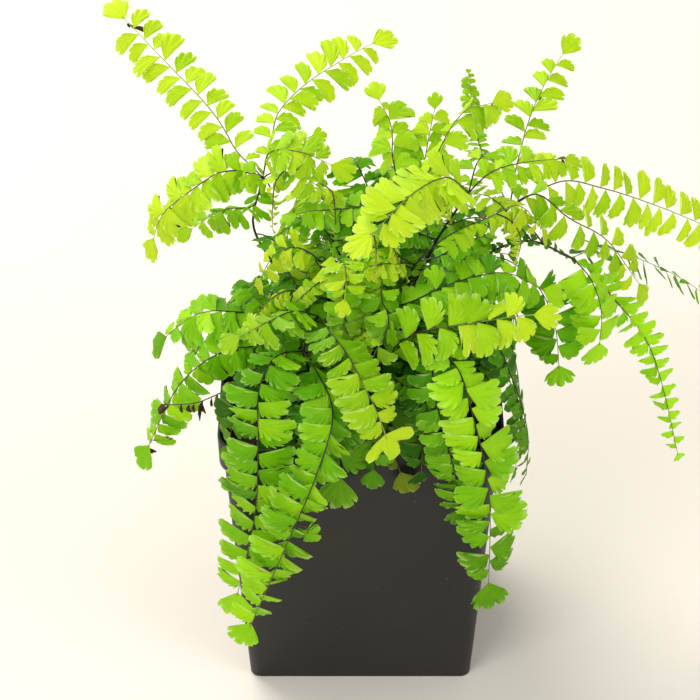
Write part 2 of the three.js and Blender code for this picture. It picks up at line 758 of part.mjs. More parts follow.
// The soil, with a hole for each stipe
function soilSolid(roots) {
  const gap = WALL + CLEARANCE;
  const bottom = FLOOR + CLEARANCE;
  const low = wallAt(bottom);
  const high = wallAt(SOIL_TOP - 4);
  const mound = loft(
    vector([0, 0, bottom]),
    [
      roundedSquare(low.half - gap, low.corner - gap, bottom),
      roundedSquare(high.half - gap, high.corner - gap, (x, y) => Math.min(soilHeight(x, y), SOIL_TOP)),
      roundedSquare(0.75 * high.half, 12, soilHeight),
      roundedSquare(0.45 * high.half, 12, soilHeight),
      roundedSquare(0.2 * high.half, 6, soilHeight),
    ],
    vector([0, 0, soilHeight(0, 0)]),
  );
  const above = SOIL_TOP + 2 * SOIL_MOUND;
  const holes = roots.map(([x, y]) =>
    uprightRod(x, y, SOIL_TOP - HOLE_DEPTH, above, HOLE_RADIUS, HOLE_MOUTH, HOLE_SIDES));
  return mound.subtract(wasm.Manifold.union(holes));
}

const fronds = [...SHOWN_FRONDS, ...ROUND_FRONDS.map(roundFrond)];
const strands = strandsOf(fronds);
bendClear(strands);

const group = new THREE.Group();
group.name = 'potted_fern';
group.add(meshOf('pot', potSolid(), 'pot'));
group.add(meshOf('soil', soilSolid(fronds.map((frond) => frond.root)), 'soil'));
for (const frond of fronds) {
  const own = strands.filter((strand) => strand.frond === frond);
  const stipe = own.find((strand) => !strand.finger);
  const knuckle = solid(new THREE.OctahedronGeometry(KNUCKLE).translate(...frond.fork));
  const fingers = own.filter((strand) => strand.finger).map(fingerSolid);
  group.add(meshOf(`${frond.name}_stipe`, stipeSolid(stipe), 'stipe'));
  group.add(meshOf(`${frond.name}_fingers`, wasm.Manifold.union([knuckle, ...fingers]), frond.colour));
}

export default group;
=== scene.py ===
# %% [markdown]
# # A maidenhair fern in a square nursery pot
#
# The CAD model gives this plant its true size and the place of every frond. Here the same fronds are
# dressed: each leaflet gets its lobed edge and its veins, each stalk its wiry gloss, the pot its rounded
# corners and the soil its crumbs. Everything is in metres and stands where the CAD nodes stand.

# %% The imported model, as a frame
import json
import math

import bmesh
import bpy
import numpy as np
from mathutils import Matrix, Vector, noise

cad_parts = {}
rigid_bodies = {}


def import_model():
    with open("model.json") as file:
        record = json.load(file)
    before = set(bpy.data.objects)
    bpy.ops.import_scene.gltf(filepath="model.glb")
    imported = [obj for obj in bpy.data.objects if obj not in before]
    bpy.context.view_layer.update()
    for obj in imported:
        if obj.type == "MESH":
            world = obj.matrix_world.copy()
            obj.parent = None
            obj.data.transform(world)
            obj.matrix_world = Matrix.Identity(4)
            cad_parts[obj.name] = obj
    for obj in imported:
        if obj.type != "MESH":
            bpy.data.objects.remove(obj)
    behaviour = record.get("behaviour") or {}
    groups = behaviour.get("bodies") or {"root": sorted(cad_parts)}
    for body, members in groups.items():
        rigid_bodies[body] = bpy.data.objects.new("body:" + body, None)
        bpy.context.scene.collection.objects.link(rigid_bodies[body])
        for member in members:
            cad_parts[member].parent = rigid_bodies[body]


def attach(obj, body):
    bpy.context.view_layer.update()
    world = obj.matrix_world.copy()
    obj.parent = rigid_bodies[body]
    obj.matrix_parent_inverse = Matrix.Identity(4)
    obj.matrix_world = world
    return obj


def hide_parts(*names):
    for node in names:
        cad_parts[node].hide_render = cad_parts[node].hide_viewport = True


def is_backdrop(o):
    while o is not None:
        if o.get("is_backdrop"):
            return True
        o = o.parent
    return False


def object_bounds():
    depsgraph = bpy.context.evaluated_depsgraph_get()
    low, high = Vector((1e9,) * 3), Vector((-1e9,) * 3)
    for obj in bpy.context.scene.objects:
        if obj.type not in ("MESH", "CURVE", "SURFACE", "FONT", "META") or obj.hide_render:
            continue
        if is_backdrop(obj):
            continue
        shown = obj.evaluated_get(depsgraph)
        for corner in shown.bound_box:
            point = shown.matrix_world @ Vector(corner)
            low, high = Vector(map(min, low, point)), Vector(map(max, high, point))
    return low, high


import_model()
cad_box = [list(corner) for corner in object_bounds()]
MM = 0.001
print("CAD box in metres:", cad_box)

# %% [markdown]
# ## Colours and nodes
#
# Blender wants linear light, while a colour picker gives sRGB, so one function turns one into the other.
# A second one adds a shader node with its settings, its links and, for a colour ramp, its stops. That
# keeps every material below short. A mix node holds sockets for numbers, vectors and colours one after
# the other and under the same names, so those for colours are told by their number.

# %% A colour, and a node
MIX_SHARE = 0
MIX_FIRST = 6
MIX_SECOND = 7
MIX_RESULT = 2
NEW_RAMP_STOPS = 2


def linear(sRGB):
    """The linear colour of a six-figure sRGB hex value."""
    shares = [int(sRGB[i : i + 2], 16) / 255 for i in (0, 2, 4)]
    return [s / 12.92 if s <= 0.04045 else ((s + 0.055) / 1.055) ** 2.4 for s in shares] + [1.0]


def add(material, kind, settings=None, links=None, stops=(), **properties):
    """Adds a node with socket values, links from other sockets, (position, hex) stops and properties."""
    node = material.node_tree.nodes.new("ShaderNode" + kind)
    for name, value in properties.items():
        setattr(node, name, value)
    for socket, value in (settings or {}).items():
        node.inputs[socket].default_value = value
    for socket, source in (links or {}).items():
        material.node_tree.links.new(source, node.inputs[socket])
    for i, (position, colour) in enumerate(stops):
        elements = node.color_ramp.elements
        element = elements[i] if i < NEW_RAMP_STOPS else elements.new(position)
        element.position = position
        element.color = linear(colour)
    return node


def new_material(name):
    """A material without any nodes."""
    material = bpy.data.materials.new(name)
    material.use_nodes = True
    material.node_tree.nodes.clear()
    return material


print("green of a leaf in linear light:", [round(c, 3) for c in linear("6FBE1C")[:3]])

# %% [markdown]
# ## The camera
#
# The photograph looks down on the plant from about 34 degrees, with a long lens, so the pot's upright
# edges converge only a little. The lens is given for a square frame on a 36 mm wide sensor.

# %% The camera
TARGET = Vector((-0.0044, 0, 0.136))
DISTANCE = 1.113
ELEVATION = math.radians(34.5)
LENS = 139.7
SENSOR = 36
FARTHEST = 20

camera_data = bpy.data.cameras.new("camera")
camera_data.lens = LENS
camera_data.sensor_width = SENSOR
camera_data.clip_end = FARTHEST
camera = bpy.data.objects.new("camera", camera_data)
bpy.context.scene.collection.objects.link(camera)
back = Vector((0, -math.cos(ELEVATION), math.sin(ELEVATION)))
camera.location = TARGET + DISTANCE * back
camera.rotation_euler = (math.pi / 2 - ELEVATION, 0, 0)
bpy.context.scene.camera = camera
print("camera at", [round(c, 3) for c in camera.location])

# %% [markdown]
# ## Floor and light
#
# The plant stands on a plain pale floor, and everything beyond it is the even white world, which also
# keeps the shadows open. The light is that of a bright room: a large soft lamp behind and above, which
# shines through the thin leaves, and two smaller ones at the front. The standard view transform keeps
# the greens as strong as they are. Matt paint on a table is almost one colour, with soft clouds in it
# that are wider than the plant. Their noise runs over the floor's own box.

# %% Floor and light
FLOOR_SIZE = 6.0
FLOOR_CLOUD = 3 / 7
ROOM_LIGHT = 0.52

floor_mesh = bpy.data.meshes.new("floor")
half = FLOOR_SIZE / 2
corners = [(-half, -half, 0), (half, -half, 0), (half, half, 0), (-half, half, 0)]
floor_mesh.from_pydata(corners, [], [(0, 1, 2, 3)])
floor = bpy.data.objects.new("floor", floor_mesh)
bpy.context.scene.collection.objects.link(floor)
paint = new_material("matt_pale_table")
clouds = add(paint, "TexNoise", {"Scale": FLOOR_SIZE / FLOOR_CLOUD, "Detail": 4.0})
pale = add(
    paint, "ValToRGB", links={"Fac": clouds.outputs["Fac"]}, stops=[(0.3, "E9E1D5"), (0.7, "EDE6DC")]
)
matt = add(paint, "BsdfPrincipled", {"Roughness": 0.8}, {"Base Color": pale.outputs["Color"]})
add(paint, "OutputMaterial", links={"Surface": matt.outputs["BSDF"]})
floor.data.materials.append(paint)
floor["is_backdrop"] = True


def soft_lamp(name, place, size, power, colour="FFFFFF"):
    """A square area lamp that looks at the plant."""
    data = bpy.data.lights.new(name, "AREA")
    data.energy = power
    data.size = size
    data.color = linear(colour)[:3]
    lamp = bpy.data.objects.new(name, data)
    lamp.location = place
    lamp.rotation_euler = (TARGET - lamp.location).to_track_quat("-Z", "Y").to_euler()
    bpy.context.scene.collection.objects.link(lamp)


soft_lamp("window_behind", (-0.7, 1.1, 1.5), size=1.2, power=31.0, colour="FFFDF6")
soft_lamp("front_left", (-0.9, -1.2, 1.3), size=1.0, power=14.0)
soft_lamp("front_right", (1.2, -0.8, 0.9), size=1.0, power=6.0)
world = bpy.data.worlds.new("bright_room")
world.use_nodes = True
backdrop = world.node_tree.nodes["Background"]
backdrop.inputs["Color"].default_value = linear("FFFFFF")
backdrop.inputs["Strength"].default_value = ROOM_LIGHT
bpy.context.scene.world = world
bpy.context.scene.view_settings.view_transform = "Standard"

# %% [markdown]
# ## The pot
#
# A square nursery pot is moulded from thin polypropylene: a tapering shell with a rim that stands out,
# upright corners that are rounded, and drain holes in its floor. A loft of rounded squares, one per
# height, gives the whole shell in one closed mesh: up the outside, over the rim and down the inside.
# A boolean then opens the drain holes, and a bevel rounds the edges as a mould does. All measures of the
# pot and the plant are in millimetres.

# %% A mesh piece, and a rounded square
POT_TOP = 114.3
POT_HEIGHT = 127
RIM_HEIGHT = 13
RIM_STEP = 2.4
POT_BASE = 93
WALL = 1.3
FLOOR_DEPTH = 2
CORNER_TOP = 9
CORNER_BASE = 4.5
CORNER_STEPS = 12
SIDE_STEPS = 8


def shade(mesh, smooth_below):
    """Shades a mesh smooth, apart from edges that are sharper than an angle in degrees."""
    mesh.shade_smooth()
    mesh.set_sharp_from_angle(angle=math.radians(smooth_below))


def new_piece(name, places, faces, material, smooth_below=40):
    """A mesh object from places in millimetres and faces, in one material, smooth below an angle."""
    mesh = bpy.data.meshes.new(name)
    mesh.from_pydata((np.asarray(places) * MM).tolist(), [], faces)
    mesh.materials.append(material)
    shade(mesh, smooth_below)
    piece = bpy.data.objects.new(name, mesh)
    bpy.context.scene.collection.objects.link(piece)
    return piece


def rounded_square(half, corner, height):
    """Places round a square with round corners, anticlockwise, with steps along its sides too."""
    ring = []
    for quarter in range(4):
        turns = math.pi / 2 * (quarter + np.linspace(0, 1, CORNER_STEPS + 1))
        middle = (half - corner) * np.array([(1, 1), (-1, 1), (-1, -1), (1, -1)][quarter])
        arc = middle + corner * np.column_stack([np.cos(turns), np.sin(turns)])
        side = 2 * (half - corner) * np.array([(-1, 0), (0, -1), (1, 0), (0, 1)][quarter])
        ring += [arc, arc[-1] + side * np.arange(1, SIDE_STEPS)[:, None] / SIDE_STEPS]
    ring = np.vstack(ring)
    return np.column_stack([ring, np.full(len(ring), height)])


def loft(rings):
    """Places and faces of a closed skin through rings of the same count, with a cap at each end."""
    size = len(rings[0])
    faces = [list(range(size))[::-1]]
    for r in range(len(rings) - 1):
        for i in range(size):
            j = (i + 1) % size
            faces.append([r * size + i, r * size + j, (r + 1) * size + j, (r + 1) * size + i])
    faces.append([(len(rings) - 1) * size + i for i in range(size)])
    return np.vstack(rings), faces


def wall_at(z):
    """Half of the wall's outer width, and its corner radius, at a height under the rim."""
    share = z / (POT_HEIGHT - RIM_HEIGHT)
    width = POT_BASE + share * (POT_TOP - 2 * RIM_STEP - POT_BASE)
    return width / 2, CORNER_BASE + share * (CORNER_TOP - CORNER_BASE)


print("the wall at mid height is", round(2 * wall_at(POT_HEIGHT / 2)[0], 1), "mm across")

# %% [markdown]
# Polypropylene from a grained mould is black but not quite: it looks a warm dark grey where light grazes
# it, its gloss is low and broken by a fine leather-like grain about 0.4 mm across, and a nursery leaves
# faint brown smears of peat and a few pale specks of dust on it. A real speck is finer than this picture
# can show, so it is drawn 1.6 mm wide.

# %% Black polypropylene, moulded with a fine grain
PLASTIC_IOR = 1.49
PLASTIC_GRAIN = 0.4
DUST_SPECK = 1.6
SMEAR = 38.0

plastic = new_material("black_moulded_polypropylene")
position = add(plastic, "NewGeometry").outputs["Position"]
smears = add(plastic, "TexNoise", {"Scale": 1 / (SMEAR * MM), "Detail": 3.0}, {"Vector": position})
body = add(
    plastic, "ValToRGB", links={"Fac": smears.outputs["Fac"]},
    stops=[(0.35, "161511"), (0.62, "1E1B16"), (0.78, "271F17")],
)
specks = add(plastic, "TexNoise", {"Scale": 1 / (DUST_SPECK * MM), "Detail": 1.0}, {"Vector": position})
dust = add(
    plastic, "ValToRGB", links={"Fac": specks.outputs["Fac"]}, stops=[(0.76, "000000"), (0.84, "FFFFFF")]
)
dusty = add(
    plastic, "Mix", {MIX_SECOND: linear("56534C")},
    {MIX_SHARE: dust.outputs["Color"], MIX_FIRST: body.outputs["Color"]}, data_type="RGBA",
)
grit = add(plastic, "TexNoise", {"Scale": 1 / (PLASTIC_GRAIN * MM), "Detail": 2.0}, {"Vector": position})
relief = add(
    plastic, "Bump", {"Strength": 0.25, "Distance": 0.05 * MM}, {"Height": grit.outputs["Fac"]}
)
gloss = add(plastic, "MapRange", {"To Min": 0.42, "To Max": 0.6}, {"Value": smears.outputs["Fac"]})
moulded = add(
    plastic,
    "BsdfPrincipled",
    {"IOR": PLASTIC_IOR},
    {
        "Base Color": dusty.outputs[MIX_RESULT],
        "Roughness": gloss.outputs["Result"],
        "Normal": relief.outputs["Normal"],
    },
)
add(plastic, "OutputMaterial", links={"Surface": moulded.outputs["BSDF"]})
print("nodes in the plastic:", len(plastic.node_tree.nodes))

# %% The shell of the pot
WALL_RINGS = 7
LIP_DRAFT = 0.5
INNER_DRAFT = 0.4
DRAIN_RADIUS = 4.5
DRAIN_OFFSET = 27
DRAIN_SIDES = 32
DRAIN_CUT = (-3, 6)
EDGE_RADIUS = 0.55
EDGE_STEPS = 3
EDGE_ANGLE = 35
SMOOTH_SHELL = 50


def apply_modifiers(piece):
    """Turns a piece's modifiers into plain mesh."""
    evaluated = piece.evaluated_get(bpy.context.evaluated_depsgraph_get())
    mesh = bpy.data.meshes.new_from_object(evaluated)
    piece.modifiers.clear()
    piece.data = mesh


neck_height = POT_HEIGHT - RIM_HEIGHT
neck, neck_corner = wall_at(neck_height)
inner_floor, floor_corner = wall_at(FLOOR_DEPTH)
rim_half = POT_TOP / 2
rim_corner = CORNER_TOP + RIM_STEP
rings = [rounded_square(*wall_at(z), z) for z in np.linspace(0, neck_height, WALL_RINGS)]
for inset, height in (
    (LIP_DRAFT, neck_height),
    (0, POT_HEIGHT),
    (WALL, POT_HEIGHT),
    (WALL + INNER_DRAFT, neck_height + WALL),
):
    rings.append(rounded_square(rim_half - inset, rim_corner - inset, height))
rings.append(rounded_square(neck - WALL, neck_corner - WALL, neck_height))
rings.append(rounded_square(inner_floor - WALL, floor_corner - WALL, FLOOR_DEPTH))
pot = new_piece("nursery_pot", *loft(rings), plastic)
turns = np.linspace(0, 2 * math.pi, DRAIN_SIDES, endpoint=False)
around = DRAIN_RADIUS * np.column_stack([np.cos(turns), np.sin(turns), 0 * turns])
for x in (-DRAIN_OFFSET, DRAIN_OFFSET):
    for y in (-DRAIN_OFFSET, DRAIN_OFFSET):
        cutter = new_piece("drain", *loft([around + (x, y, z) for z in DRAIN_CUT]), plastic)
        drain = pot.modifiers.new("drain", "BOOLEAN")
        drain.operation = "DIFFERENCE"
        drain.object = cutter
edges = pot.modifiers.new("mould_edges", "BEVEL")
edges.width = EDGE_RADIUS * MM
edges.segments = EDGE_STEPS
edges.limit_method = "ANGLE"
edges.angle_limit = math.radians(EDGE_ANGLE)
apply_modifiers(pot)
for spare in [o for o in bpy.data.objects if o.name.startswith("drain")]:
    bpy.data.objects.remove(spare)
shade(pot.data, SMOOTH_SHELL)
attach(pot, "root")
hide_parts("pot")
print("pot:", len(pot.data.polygons), "faces")

# %% [markdown]
# ## The potting soil
#
# Potting mix is dark, damp and loose: fine peat, strands of fibre and bits of composted bark, with here
# and there a white grain of perlite. The bed is a mound of rings whose heights follow the CAD's lumps,
# with finer noise on top, and the bark lies on it as separate rough chips. Peat has no gloss, even damp:
# its crumbs, about 1 mm across, catch the light on one side and are nearly black on the other.

# %% Damp peat, sieved and loose
PEAT_GRAIN = 1.1

peat = new_material("damp_peat")
position = add(peat, "NewGeometry").outputs["Position"]
grains = add(peat, "TexNoise", {"Scale": 1 / (PEAT_GRAIN * MM), "Detail": 6.0}, {"Vector": position})
brown = add(
    peat, "ValToRGB", links={"Fac": grains.outputs["Fac"]},
    stops=[(0.3, "120C08"), (0.52, "2E1E14"), (0.72, "4C3424")],
)
crumbly = add(peat, "Bump", {"Strength": 0.9, "Distance": 0.7 * MM}, {"Height": grains.outputs["Fac"]})
damp = add(
    peat,
    "BsdfPrincipled",
    {"Roughness": 0.88},
    {"Base Color": brown.outputs["Color"], "Normal": crumbly.outputs["Normal"]},
)
add(peat, "OutputMaterial", links={"Surface": damp.outputs["BSDF"]})
print("nodes in the peat:", len(peat.node_tree.nodes))

# %% The bed of soil
SOIL_TOP = 112
SOIL_MOUND = 5
SOIL_LUMP = 1.2
SOIL_GAP = 0.3
SOIL_RINGS = 46
INNER_RING = 0.02
BED_EDGE = 4
BED_CORNER = 0.16
SHARPEST_CORNER = 0.1
CRUMB_HEIGHT = 1.1
CRUMB = 3.2
FINE_CRUMB = 1.5
FINE_SHARE = 0.6
SMOOTH_BED = 80


def noise_at(places, size, seed):
    """Smooth noise from -1 to 1 at places in millimetres, with lumps of a size."""
    shift = Vector((seed, 2 * seed, 3 * seed))
    return np.array([noise.noise(Vector(p) / size + shift) for p in places])


def soil_height(x, y):
    """The height of the mound, with the same soft lumps as the CAD's, in millimetres."""
    out = np.hypot(x, y) / wall_at(SOIL_TOP)[0]
    lumps = np.sin(0.31 * x + 1.3) * np.cos(0.27 * y) + 0.6 * np.sin(0.53 * x - 0.47 * y)
    return SOIL_TOP + SOIL_MOUND * np.clip(1 - out * out, 0, None) + SOIL_LUMP * lumps


def bed_height(x, y):
    """The height of the mound with its fine crumbs."""
    flat = np.column_stack([x, y, 0 * x])
    fine = noise_at(flat, CRUMB, seed=5) + FINE_SHARE * noise_at(flat, FINE_CRUMB, seed=9)
    return soil_height(x, y) + CRUMB_HEIGHT * fine


low, low_corner = wall_at(FLOOR_DEPTH + SOIL_GAP)
gap = WALL + SOIL_GAP
bed_half = wall_at(SOIL_TOP - BED_EDGE)[0] - gap
rings = [rounded_square(low - gap, low_corner - gap, FLOOR_DEPTH + SOIL_GAP)]
for share in np.linspace(1, INNER_RING, SOIL_RINGS):
    ring = rounded_square(share * bed_half, max(share * bed_half * BED_CORNER, SHARPEST_CORNER), 0)
    ring[:, 2] = bed_height(ring[:, 0], ring[:, 1])
    rings.append(ring)
bed = new_piece("potting_soil", *loft(rings), peat, SMOOTH_BED)
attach(bed, "root")
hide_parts("soil")
print("soil bed:", len(bed.data.polygons), "faces")

# %% [markdown]
# Composted bark is dull and blotched, brown where it broke last and nearly black where it rotted, in
# patches of 2 to 3 mm. Perlite is volcanic glass that heat has popped: chalk white and full of pores of
# less than 0.1 mm. Those are too fine to show one by one, and only roughen it. Their noise runs over the
# box in which the grains are strewn.

# %% Composted bark and expanded perlite
BARK_BLOTCH = 2.4
PORE = 0.08
STREWN_WIDTH = 100

bark = new_material("composted_bark")
position = add(bark, "NewGeometry").outputs["Position"]
streaks = add(bark, "TexNoise", {"Scale": 1 / (BARK_BLOTCH * MM), "Detail": 5.0}, {"Vector": position})
tan = add(
    bark, "ValToRGB", links={"Fac": streaks.outputs["Fac"]},
    stops=[(0.3, "23160E"), (0.55, "4E3423"), (0.75, "7A5A3C")],
)
rough = add(bark, "Bump", {"Strength": 0.7, "Distance": 0.3 * MM}, {"Height": streaks.outputs["Fac"]})
chip_finish = add(
    bark,
    "BsdfPrincipled",
    {"Roughness": 0.85},
    {"Base Color": tan.outputs["Color"], "Normal": rough.outputs["Normal"]},
)
add(bark, "OutputMaterial", links={"Surface": chip_finish.outputs["BSDF"]})

perlite = new_material("expanded_perlite")
pores = add(perlite, "TexNoise", {"Scale": STREWN_WIDTH / PORE, "Detail": 3.0})
chalk = add(
    perlite, "ValToRGB", links={"Fac": pores.outputs["Fac"]}, stops=[(0.35, "B9B4A8"), (0.6, "E4E1D8")]
)
porous = add(perlite, "Bump", {"Strength": 0.6, "Distance": 0.2 * MM}, {"Height": pores.outputs["Fac"]})
grain_finish = add(
    perlite,
    "BsdfPrincipled",
    {"Roughness": 0.9},
    {"Base Color": chalk.outputs["Color"], "Normal": porous.outputs["Normal"]},
)
add(perlite, "OutputMaterial", links={"Surface": grain_finish.outputs["BSDF"]})
print("loose finishes:", bark.name, perlite.name)

# %% [markdown]
# Each chip starts as a coarse ball of triangles. Pushing its corners in and out at random, squashing it,
# tipping it and turning it makes a broken bit of bark, and the small pale ones are perlite.

# %% Chips of bark and grains of perlite
CHIPS = 420
PERLITE = 26
WALL_CLEAR = 3
SQUEEZE = (0.4, 0.8)
DENTS = (0.75, 1.15)
MOST_TIP = 0.4
PROUD = 0.3
SMOOTH_BIT = 70

ball = bmesh.new()
bmesh.ops.create_icosphere(ball, subdivisions=2, radius=1)
ball_places = np.array([v.co for v in ball.verts])
ball_faces = np.array([[v.index for v in f.verts] for f in ball.faces])
ball.free()


def scatter_bits(name, count, sizes, squash, seed, material):
    """Rough bits of a range of sizes, strewn over the soil bed as one piece."""
    random = np.random.default_rng(seed)
    places = []
    faces = []
    reach = bed_half - WALL_CLEAR
    for k in range(count):
        x, y = random.uniform(-reach, reach, 2)
        size = random.uniform(*sizes) * np.array([1, random.uniform(*SQUEEZE), squash])
        bit = ball_places * random.uniform(*DENTS, (len(ball_places), 1)) * size
        turn = random.uniform(0, 2 * math.pi)
        tip = random.uniform(-MOST_TIP, MOST_TIP)
        c, s = math.cos(tip), math.sin(tip)
        bit = bit @ np.array([[c, 0, s], [0, 1, 0], [-s, 0, c]])
        c, s = math.cos(turn), math.sin(turn)
        bit = bit @ np.array([[c, s, 0], [-s, c, 0], [0, 0, 1]])
        ground = bed_height(np.array([x]), np.array([y]))[0]
        places.append(bit + (x, y, ground + PROUD * size[2]))
        faces += (ball_faces + k * len(ball_places)).tolist()
    bits = new_piece(name, np.vstack(places), faces, material, SMOOTH_BIT)
    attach(bits, "root")
    print(name, len(faces), "faces")


scatter_bits("bark_chips", CHIPS, sizes=(0.8, 3.4), squash=0.35, seed=4, material=bark)
scatter_bits("perlite_grains", PERLITE, sizes=(0.5, 1.1), squash=0.8, seed=11, material=perlite)

# %% [markdown]
# ## Where the fronds go
#
# A maidenhair frond has a dark wiry stipe, a fork at its head, and fingers that arch out of the fork with
# a row of leaflets on each side. The tables say where the stipe stands, how it leans, where it forks and
# which way each finger goes. These routes are the ones that shaped the CAD solids. The leaflets on them
# are fitted more closely to the photograph.
#
# A finger says more where it isn't like the rest:
#
# - "leaf" is the length of its longest leaflets, "bare" how much of the finger, from the fork on, has
#   none, "cut" how far before its end they stop, and "gap" how far apart they stand on one side.
# - "shape" and "last" name the outlines of its leaflets and of the one at its tip, and "tip" is the size
#   of that one. "taper" makes them longer or shorter from the first to the last.
# - "face" is the way that a hanging blade looks. "turn" is how far a blade is turned to the light, and
#   "shown_turn" stands in for it once the fingers have been bent clear of each other.
# - "droop", "lean" and "cup" are how leaflets hang from the rib, lie along it and curl. The first two are
#   in degrees, for one side and for the other, and "wilt" adds to the droop towards the tip.
# - "tint" and "fresh" colour the leaflets, from the first to the last: deep to light, and to the yellow
#   of the newest. "green" is how green its stalk starts, and "rib" how stout that is.
#
# The first fronds are those at the back, which rise high over the pot and arch out to the right.

# %% Fronds that rise at the back and to the right
SHOWN_FRONDS = [
    {
        "name": "rear_left",
        "colour": "young",
        "root": (-16, 12),
        "stipe": [(-24, 10, 150), (-37, 16, 170), (-44, 26, 181)],
        "fork": (-40, 38, 195),
        "fingers": [
            {
                "route": [(-50, 51, 204), (-65, 65, 216), (-82, 79, 228), (-101, 94, 242)],
                "leaf": 12, "shown_turn": 0.7, "gap": 7, "tint": (0.6, 0.9), "green": 0.7,
                "taper": (0.85, 1.2), "cut": 3, "tip": 0.8,
            },
            {
                "route": [(-38, 54, 209), (-25, 70, 219), (-6, 82, 227), (6, 90, 230)],
                "leaf": 11.5, "shown_turn": 0.75, "tint": (0.6, 0.8), "green": 0.7, "lean": (14, 14),
                "taper": (0.9, 1.15),
            },
            {
                "route": [(-35, 34, 208), (-24, 28, 213), (-11, 24, 209)],
                "leaf": 12, "turn": 0.3, "bare": 6, "shape": "oblong", "shown_turn": 0.5,
            },
            {
                "route": [(-34, 31, 203), (-24, 22, 206), (-13, 15, 201)],
                "leaf": 9, "turn": 0.3, "shape": "oblong",
            },
            {
                "route": [(-50, 32, 200), (-66, 28, 196), (-80, 26, 186), (-85, 25, 173)],
                "leaf": 12.5, "turn": 0.3, "shape": "oblong", "gap": 5.4, "shown_turn": 0.5,
                "tint": (0.5, 1.0),
            },
            {
                "route": [(-44, 20, 197), (-55, 9, 198), (-68, 3, 192)],
                "leaf": 8.5, "shape": "oblong", "tint": (0.1, 0.0), "cup": (0.3, 0.7),
            },
        ],
    },
    {
        "name": "rear_right",
        "colour": "young",
        "root": (18, 10),
        "stipe": [(28, 10, 150), (46, 14, 180)],
        "fork": (60, 20, 192),
        "fingers": [
            {
                "route": [(70, 20, 198), (82, 14, 192), (98, 11, 181), (112, 10, 160)],
                "leaf": 11, "bare": 4, "shown_turn": 0.5,
            },
            {
                "route": [(78, 32, 197), (99, 42, 188), (121, 51, 175), (143, 58, 161), (155, 61, 152)],
                "leaf": 12.5, "turn": 0.45, "shown_turn": 0.85, "gap": 7.8, "shape": "fin",
                "tint": (0.7, 1.0), "green": 0.5,
            },
            {
                "route": [(64, 36, 200), (68, 54, 209), (75, 67, 221), (84, 76, 233)],
                "leaf": 10, "gap": 7.4, "shown_turn": 0.5, "green": 0.5, "lean": (24, 24),
                "taper": (1.1, 1.1),
            },
            {
                "route": [(56, 38, 192), (50, 58, 196), (47, 74, 205), (45, 86, 218)],
                "leaf": 4.5, "bare": 32, "shape": "fan", "tint": (0.1, 0.0), "tip": 0.5, "lean": (20, 20),
            },
        ],
    },
    {
        "name": "right_arch",
        "colour": "leaf",
        "root": (24, -2),
        "stipe": [(32, -3, 150), (46, -3, 180), (66, -2, 190)],
        "fork": (84, -2, 182),
        "fingers": [
            {
                "route": [(91, -10, 178), (96, -13, 164), (96, -14, 148)],
                "leaf": 10.5, "bare": 3, "shown_turn": 0.5, "gap": 8, "shape": "fan", "taper": (1.0, 1.25),
                "tint": (0.7, 1.15), "rib": 0.8, "droop": (14, 14),
            },
            {
                "route": [(95, 2, 172), (109, 6, 151), (120, 9, 130), (128, 10, 104), (135, 10, 75)],
                "leaf": 7.5, "face": (0.35, -0.94), "taper": (1.4, 0.85), "shape": "fan", "gap": 7,
                "droop": (8, -18), "wilt": 30, "lean": (18, 38), "tint": (0.75, 0.95), "rib": 0.8,
            },
            {
                "route": [(100, 20, 172), (118, 38, 155), (138, 52, 136), (153, 60, 119)],
                "leaf": 5.5, "turn": 0.6, "gap": 8, "taper": (1.9, 1.5), "shape": "sliver",
                "last": "sliver", "droop": (-10, 25), "tint": (0.0, 0.3), "rib": 0.55,
            },
        ],
    },
]
print("fronds so far:", len(SHOWN_FRONDS))

# %% [markdown]
# The next ones hang over the front rim, and carry the longest and broadest leaflets. Between them a crest
# and a spray arch forward, with a single finger that reaches out to the right.

